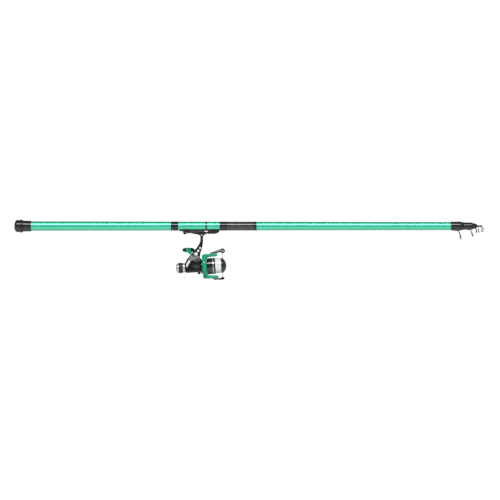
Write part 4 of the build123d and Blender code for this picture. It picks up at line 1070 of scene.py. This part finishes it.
LINE_PITCH = 0.46
LINE_CORE = 12.0
LINE_SHAPE = ((46.3, 18.2), (47.2, 19.0), (50.0, 19.25), (56.0, 19.2), (60.8, 18.9), (62.0, 18.0))


def build_line():
    """The wound line: close turns whose ridges run in a helix."""
    start, end = LINE_SHAPE[0][0], LINE_SHAPE[-1][0]
    count = int((end - start) / LINE_PITCH * 6)
    rings = []
    for index in range(count + 1):
        u = start + (end - start) * index / count
        ring = []
        for a in circle(120):
            phase = 2 * math.pi * u / LINE_PITCH - a
            ridge = 0.13 * abs(math.cos(phase / 2)) + 0.05 * math.sin(2.0 * u + 3 * a)
            ring.append(SHAFT.at(u, along_table(LINE_SHAPE, u) - 0.15 + ridge, a))
        rings.append(ring)
    inner = [[SHAFT.at(u, LINE_CORE, a) for a in circle(120)] for u in (end, start)]
    piece = loft("line_winding_form", rings + inner + rings[:1], capped=False, smooth_angle=60)
    finish(piece, LINE, "spool", "nylon_line", "line_winding")


build_line()

BUTTON = [(62.0, 0), (62.0, 5.45), (74.1, 5.45), (74.7, 4.9), (74.7, 3.6), (74.4, 3.0), (74.4, 0)]
turn("spool_button", SHAFT, BUTTON, BLACK_PLASTIC, "button", "black_plastic", 0.3, 64)

# ---------------------------------------------------------------- bail

BAIL_ARM = [
    (34.5, 32.05, 0.8), (52.5, 32.05, 2.0), (57.0, 33.4, 4.0), (62.0, 34.6, 3.0), (67.0, 36.0, 1.0),
    (67.0, 43.4, 1.0), (61.8, 41.5, 4.0), (50.0, 38.0, 6.0), (40.0, 35.4, 4.0), (35.2, 33.9, 0.8),
]
BAIL_END = [(-3.0, 0), (-3.0, 5.2), (-2.0, 6.2), (2.0, 6.3), (3.0, 5.6), (3.0, 0)]
arm_parts = [prism("bail_plate", REEL_SIDE, BAIL_ARM, -3.0, 3.0, 0.8, 0.8),
             lathe("bail_end", ROLLER_AXIS, BAIL_END, 0.5, 64)]
mould("bail_arm", arm_parts, [cylinder(ROLLER_AXIS, -5, 5, 1.5, 32)], 0.3, 3, BLACK_PLASTIC, "bail",
      "black_plastic")

# a bright plate let into the arm's near side and top
BAIL_TRIM = [(42.0, 34.3, 0.5), (50.0, 34.9, 3.0), (57.0, 36.2, 3.0), (63.4, 38.2, 1.0), (63.4, 42.6, 1.0),
             (57.0, 40.8, 3.0), (50.0, 38.7, 3.0), (43.0, 36.7, 0.8)]
bail_trim = prism("bail_arm_trim", REEL_SIDE, BAIL_TRIM, -2.2, 3.5, 0.5, 0.5, corner=0.6)
finish(bail_trim, SATIN, "bail", "silver_plastic")

pivot_u = reel_place("bail_flip")[0]
for label, outwards, head in (("top", UPWARD, 36.1), ("bottom", -UPWARD, 35.3)):
    place = Spindle(at_reel(pivot_u, 0, 0), outwards, FORWARD)
    finish(screw(f"bail_screw_{label}", place, head, 2.4, 0.8, 0.6), DARK_METAL, "bail", "steel")

recast("bail_lever", BLACK_PLASTIC, "bail", 0.25, 6)

WIRE_POINTS = at_reel(66.8, 13.0, ROLLER_PLACE[1]), at_reel(65.0, 38.0, 0.0), at_reel(64.2, 2.9, -33.0)
WIRE_CONE = [(9.0, 1.45), (9.0, 5.0), (9.6, 5.2), (10.6, 4.5), (12.4, 2.4), (13.5, 1.2), (13.7, 0), (10.2, 0),
             (10.2, 1.45)]
wire_parts = [
    tube("bail_wire_bar", arc_through(*WIRE_POINTS, 64), 0.65, 16),
    lathe("bail_cone", ROLLER_AXIS, WIRE_CONE, 0.3, 48),
    tube("bail_wire_foot", [at_reel(64.2, 2.0, -33.0), at_reel(64.2, 4.6, -32.7)], 1.3, 20),
]
assemble("bail_wire", wire_parts, CHROME, "bail", "steel", 45)

ROLLER = [(3.3, 1.5), (3.3, 4.4), (3.9, 4.6), (4.4, 4.4), (5.2, 3.5), (6.0, 3.3), (6.8, 3.5), (7.6, 4.4),
          (8.1, 4.6), (8.7, 4.4), (8.7, 1.5)]
turn("line_roller", ROLLER_AXIS, ROLLER, CHROME, "roller", "steel", 0.25, 64, closed=True)
screw_parts = [cylinder(ROLLER_AXIS, 10.2, -2.6, 1.4, 32, 0.1),
               screw("roller_head", Spindle(ROLLER_AXIS.origin, (0, -1, 0), FORWARD), 3.0, 3.0, 1.2, 0.6)]
assemble("roller_screw", screw_parts, CHROME, "bail", "steel")

# ---------------------------------------------------------------- drag knob and reverse lever

DRAG_CAP = [(-54.0, 0), (-54.0, 4.6), (-53.7, 6.6), (-52.8, 9.2), (-51.4, 11.0), (-49.4, 12.2), (-47.2, 12.7),
            (-47.2, 0)]
turn("drag_cap", SHAFT, DRAG_CAP, SILVER, "drag_knob", "silver_plastic", 0.35, steps=6)

KNOB_RIBS = 20
BAND_RADIUS = 12.35
BAND_STATIONS = (-47.2, -46.7, -46.2, -45.8, -42.0, -38.2, -37.9, -37.4, -36.9)


def knob_ribs(distance, angle):
    """Raised grip ribs, which fade at both ends of the band."""
    fade = min(1.0, max(0.0, min(distance + 46.6, -37.5 - distance) / 0.8))
    return 0.75 * fade * max(0.0, math.cos(KNOB_RIBS * angle)) ** 0.5


band_profile = [(BAND_STATIONS[0], 0), *((u, BAND_RADIUS) for u in BAND_STATIONS), (BAND_STATIONS[-1], 0)]
turn("drag_band", SHAFT, band_profile, BLACK_PLASTIC, "drag_knob", "black_plastic", 0.0, 240,
     ripple=knob_ribs, smooth_angle=50)

COLLAR = [(-36.6, 3.4), (-36.6, 11.6), (-35.8, 12.2), (-33.2, 12.0), (-32.9, 11.6), (-32.4, 11.6),
          (-32.0, 11.9), (-30.5, 11.4), (-30.5, 3.4)]
turn("drag_collar", SHAFT, COLLAR, SILVER, "rod", "silver_plastic", closed=True)

recast("reverse_lever", BLACK_PLASTIC, "reverse_switch", 0.2, 5)

# ---------------------------------------------------------------- crank and knob

CRANK_POST = [(15.9, 0), (15.9, 4.0), (12.6, 4.0), (12.6, 7.6), (13.4, 8.2), (15.2, 8.0), (17.0, 7.2),
              (18.5, 5.6), (21.0, 5.2), (30.6, 5.2), (32.4, 6.0), (33.2, 6.2), (36.6, 6.2), (36.6, 0)]
CRANK_PIN = [(38.6, 0), (38.6, 5.2), (39.2, 6.0), (42.2, 6.2), (42.9, 5.6), (42.9, 2.2), (57.0, 2.2),
             (57.0, 0)]
# along the arm from the crank's axis: its width, and its rise away from the reel
ARM_WIDTH = ((-6.2, 0.4), (-5.6, 5.6), (-4.0, 9.4), (-1.5, 11.4), (1.5, 11.2), (5.0, 8.8), (12.0, 6.4),
             (24.0, 5.8), (31.0, 6.8), (36.0, 9.6), (39.0, 11.4), (43.0, 12.0), (45.4, 10.8), (47.2, 7.2),
             (48.0, 0.6))
ARM_LIFT = ((0.0, 0.0), (12.0, 0.0), (16.0, 0.5), (30.0, 5.5), (34.0, 6.0), (60.0, 6.0))
ARM_DEPTH = 34.8
ARM_HALF = 1.8
ARM_LENGTH = 41.9


def build_crank():
    reach = Vector(PIN_PLACE) - Vector(CRANK_PLACE)
    out = (FORWARD * reach.x + UPWARD * reach.y).normalized()
    side = out.cross(Vector((0, 1, 0)))
    rings = []
    for s, width in ARM_WIDTH:
        lift = along_table(ARM_LIFT, s)
        centre = CRANK_AXIS.origin + out * s * reach.length / ARM_LENGTH + Vector((0, ARM_DEPTH + lift, 0))
        half = width / 2
        corners = [(-half, -ARM_HALF), (half, -ARM_HALF), (half, ARM_HALF), (-half, ARM_HALF)]
        rings.append([centre + side * a + Vector((0, b, 0)) for a, b in rounded(corners, 0.9, closed=True)])
    parts = [lathe("crank_post", CRANK_AXIS, CRANK_POST, 0.5, 72), loft("crank_bar", rings),
             lathe("crank_pin", PIN_AXIS, CRANK_PIN, 0.3, 64)]
    mould("crank_arm", parts, [], 0.35, 4, GREEN_ENAMEL, "crank", "green_metal")


build_crank()

KNOB_NECK = [(43.4, 2.3), (43.4, 5.2), (44.2, 5.6), (46.0, 4.8), (48.5, 4.5), (52.0, 5.6), (58.5, 5.8),
             (58.5, 0), (57.4, 0), (57.4, 2.3)]
KNOB_HALF = 16.0
KNOB_DEPTH = 57.0


def build_knob():
    """A waisted paddle across the end of a turned neck."""
    rings = []
    stations = 28
    for index in range(stations + 1):
        t = -1 + 2 * index / stations
        swell = max(0.02, 1 - abs(t) ** 3.2) ** 0.5
        waist = min(1, abs(t) * 1.8)
        high, deep = 6.0 * swell * (0.86 + 0.14 * waist), 5.9 * swell * (0.9 + 0.1 * waist)
        centre = PIN_AXIS.origin + Vector((KNOB_HALF * t, KNOB_DEPTH, 0))
        rings.append([centre + Vector((0, deep * math.copysign(abs(math.cos(a)) ** 0.8, math.cos(a)),
                                       high * math.copysign(abs(math.sin(a)) ** 0.8, math.sin(a))))
                      for a in circle(32)])
    parts = [lathe("knob_neck", PIN_AXIS, KNOB_NECK, 0.5, 64), loft("knob_paddle", rings)]
    bore = cylinder(PIN_AXIS, 42, 57.4, 2.3, 32)
    mould("crank_knob", parts, [bore], 0.35, 4, CAP_RUBBER, "knob", "grip_rubber")


build_knob()

# ---------------------------------------------------------------- stage, light and camera

WHITE = (1.0, 1.0, 1.0, 1.0)
FLOOR_Z = -1.5
FLOOR_HALF = 6.0
KEY_PLACE = Vector((0.12, -1.58, 1.55))
KEY_TARGET = Vector((0.12, 0, 0))
KEY_SIZE = (3.2, 0.68)
KEY_RADIANCE = 14.5
CAMERA_DISTANCE = 6.0
FIELD_WIDTH = 1.28
VIEW_CENTRE = (0.1241, -0.0612)
SENSOR_WIDTH = 36.0


def build_floor():
    """A pale floor that glows as painted light, softly in front of the object, and less under and behind it
    as painted shade.
    """
    paint = Paint("pale_glowing_floor")
    paint.base(paint.blend(paint.noise(1.5), (0.86, 0.86, 0.86), (0.9, 0.9, 0.9)))
    paint.rough(paint.noise(3.0), 0.6, 0.7)
    paint.set(Emission_Color=WHITE)
    place = paint.node("ShaderNodeSeparateXYZ", {"Vector": paint.coordinates}).outputs
    # painted light: the floor's glow lights the object from below and fades under it as a painted shadow
    paint.link(paint.fade(place["Y"], -2.0, 0.6, 0.95, 0.3), paint.shader.inputs["Emission Strength"])
    mesh = bpy.data.meshes.new("floor")
    corners = [(x * FLOOR_HALF, y * FLOOR_HALF, FLOOR_Z) for x, y in ((-1, -1), (1, -1), (1, 1), (-1, 1))]
    mesh.from_pydata(corners, [], [(0, 1, 2, 3)])
    mesh.materials.append(paint.material)
    in_scene("floor", mesh)


def build_key_light():
    """A wide, low softbox above the camera's side, turned to the object."""
    lamp = bpy.data.lights.new("key", "AREA")
    lamp.shape = "RECTANGLE"
    lamp.size, lamp.size_y = KEY_SIZE
    lamp.energy = KEY_RADIANCE * math.pi * lamp.size * lamp.size_y
    holder = in_scene("key", lamp)
    holder.location = KEY_PLACE
    holder.rotation_euler = (KEY_TARGET - KEY_PLACE).to_track_quat("-Z", "Y").to_euler()


def build_world():
    """Bright studio walls behind the object, dimmer ones on the camera's side and a dark ceiling."""
    world = bpy.data.worlds.new("studio")
    world.use_nodes = True
    nodes = Nodes(world.node_tree)
    direction = nodes.node("ShaderNodeTexCoord").outputs["Generated"]
    place = nodes.node("ShaderNodeSeparateXYZ", {"Vector": direction}).outputs
    walls = nodes.combine(nodes.fade(place["Y"], -0.95, -0.6, 0.24, 0.52),
                          nodes.fade(place["Y"], 0.955, 0.982, 0.0, 0.51))
    ceiling = nodes.fade(place["Z"], 0.12, 0.6, 1.0, 0.3)
    background = world.node_tree.nodes["Background"]
    background.inputs["Color"].default_value = WHITE
    nodes.link(nodes.combine(walls, ceiling, "MULTIPLY"), background.inputs["Strength"])
    bpy.context.scene.world = world


def build_camera():
    lens = bpy.data.cameras.new("camera")
    lens.sensor_width = SENSOR_WIDTH
    lens.lens = SENSOR_WIDTH * CAMERA_DISTANCE / FIELD_WIDTH
    camera = in_scene("camera", lens)
    camera.location = (VIEW_CENTRE[0], -CAMERA_DISTANCE, VIEW_CENTRE[1])
    camera.rotation_euler = (math.pi / 2, 0, 0)
    bpy.context.scene.camera = camera
    bpy.context.scene.view_settings.view_transform = "Standard"


build_floor()
build_key_light()
build_world()
build_camera()
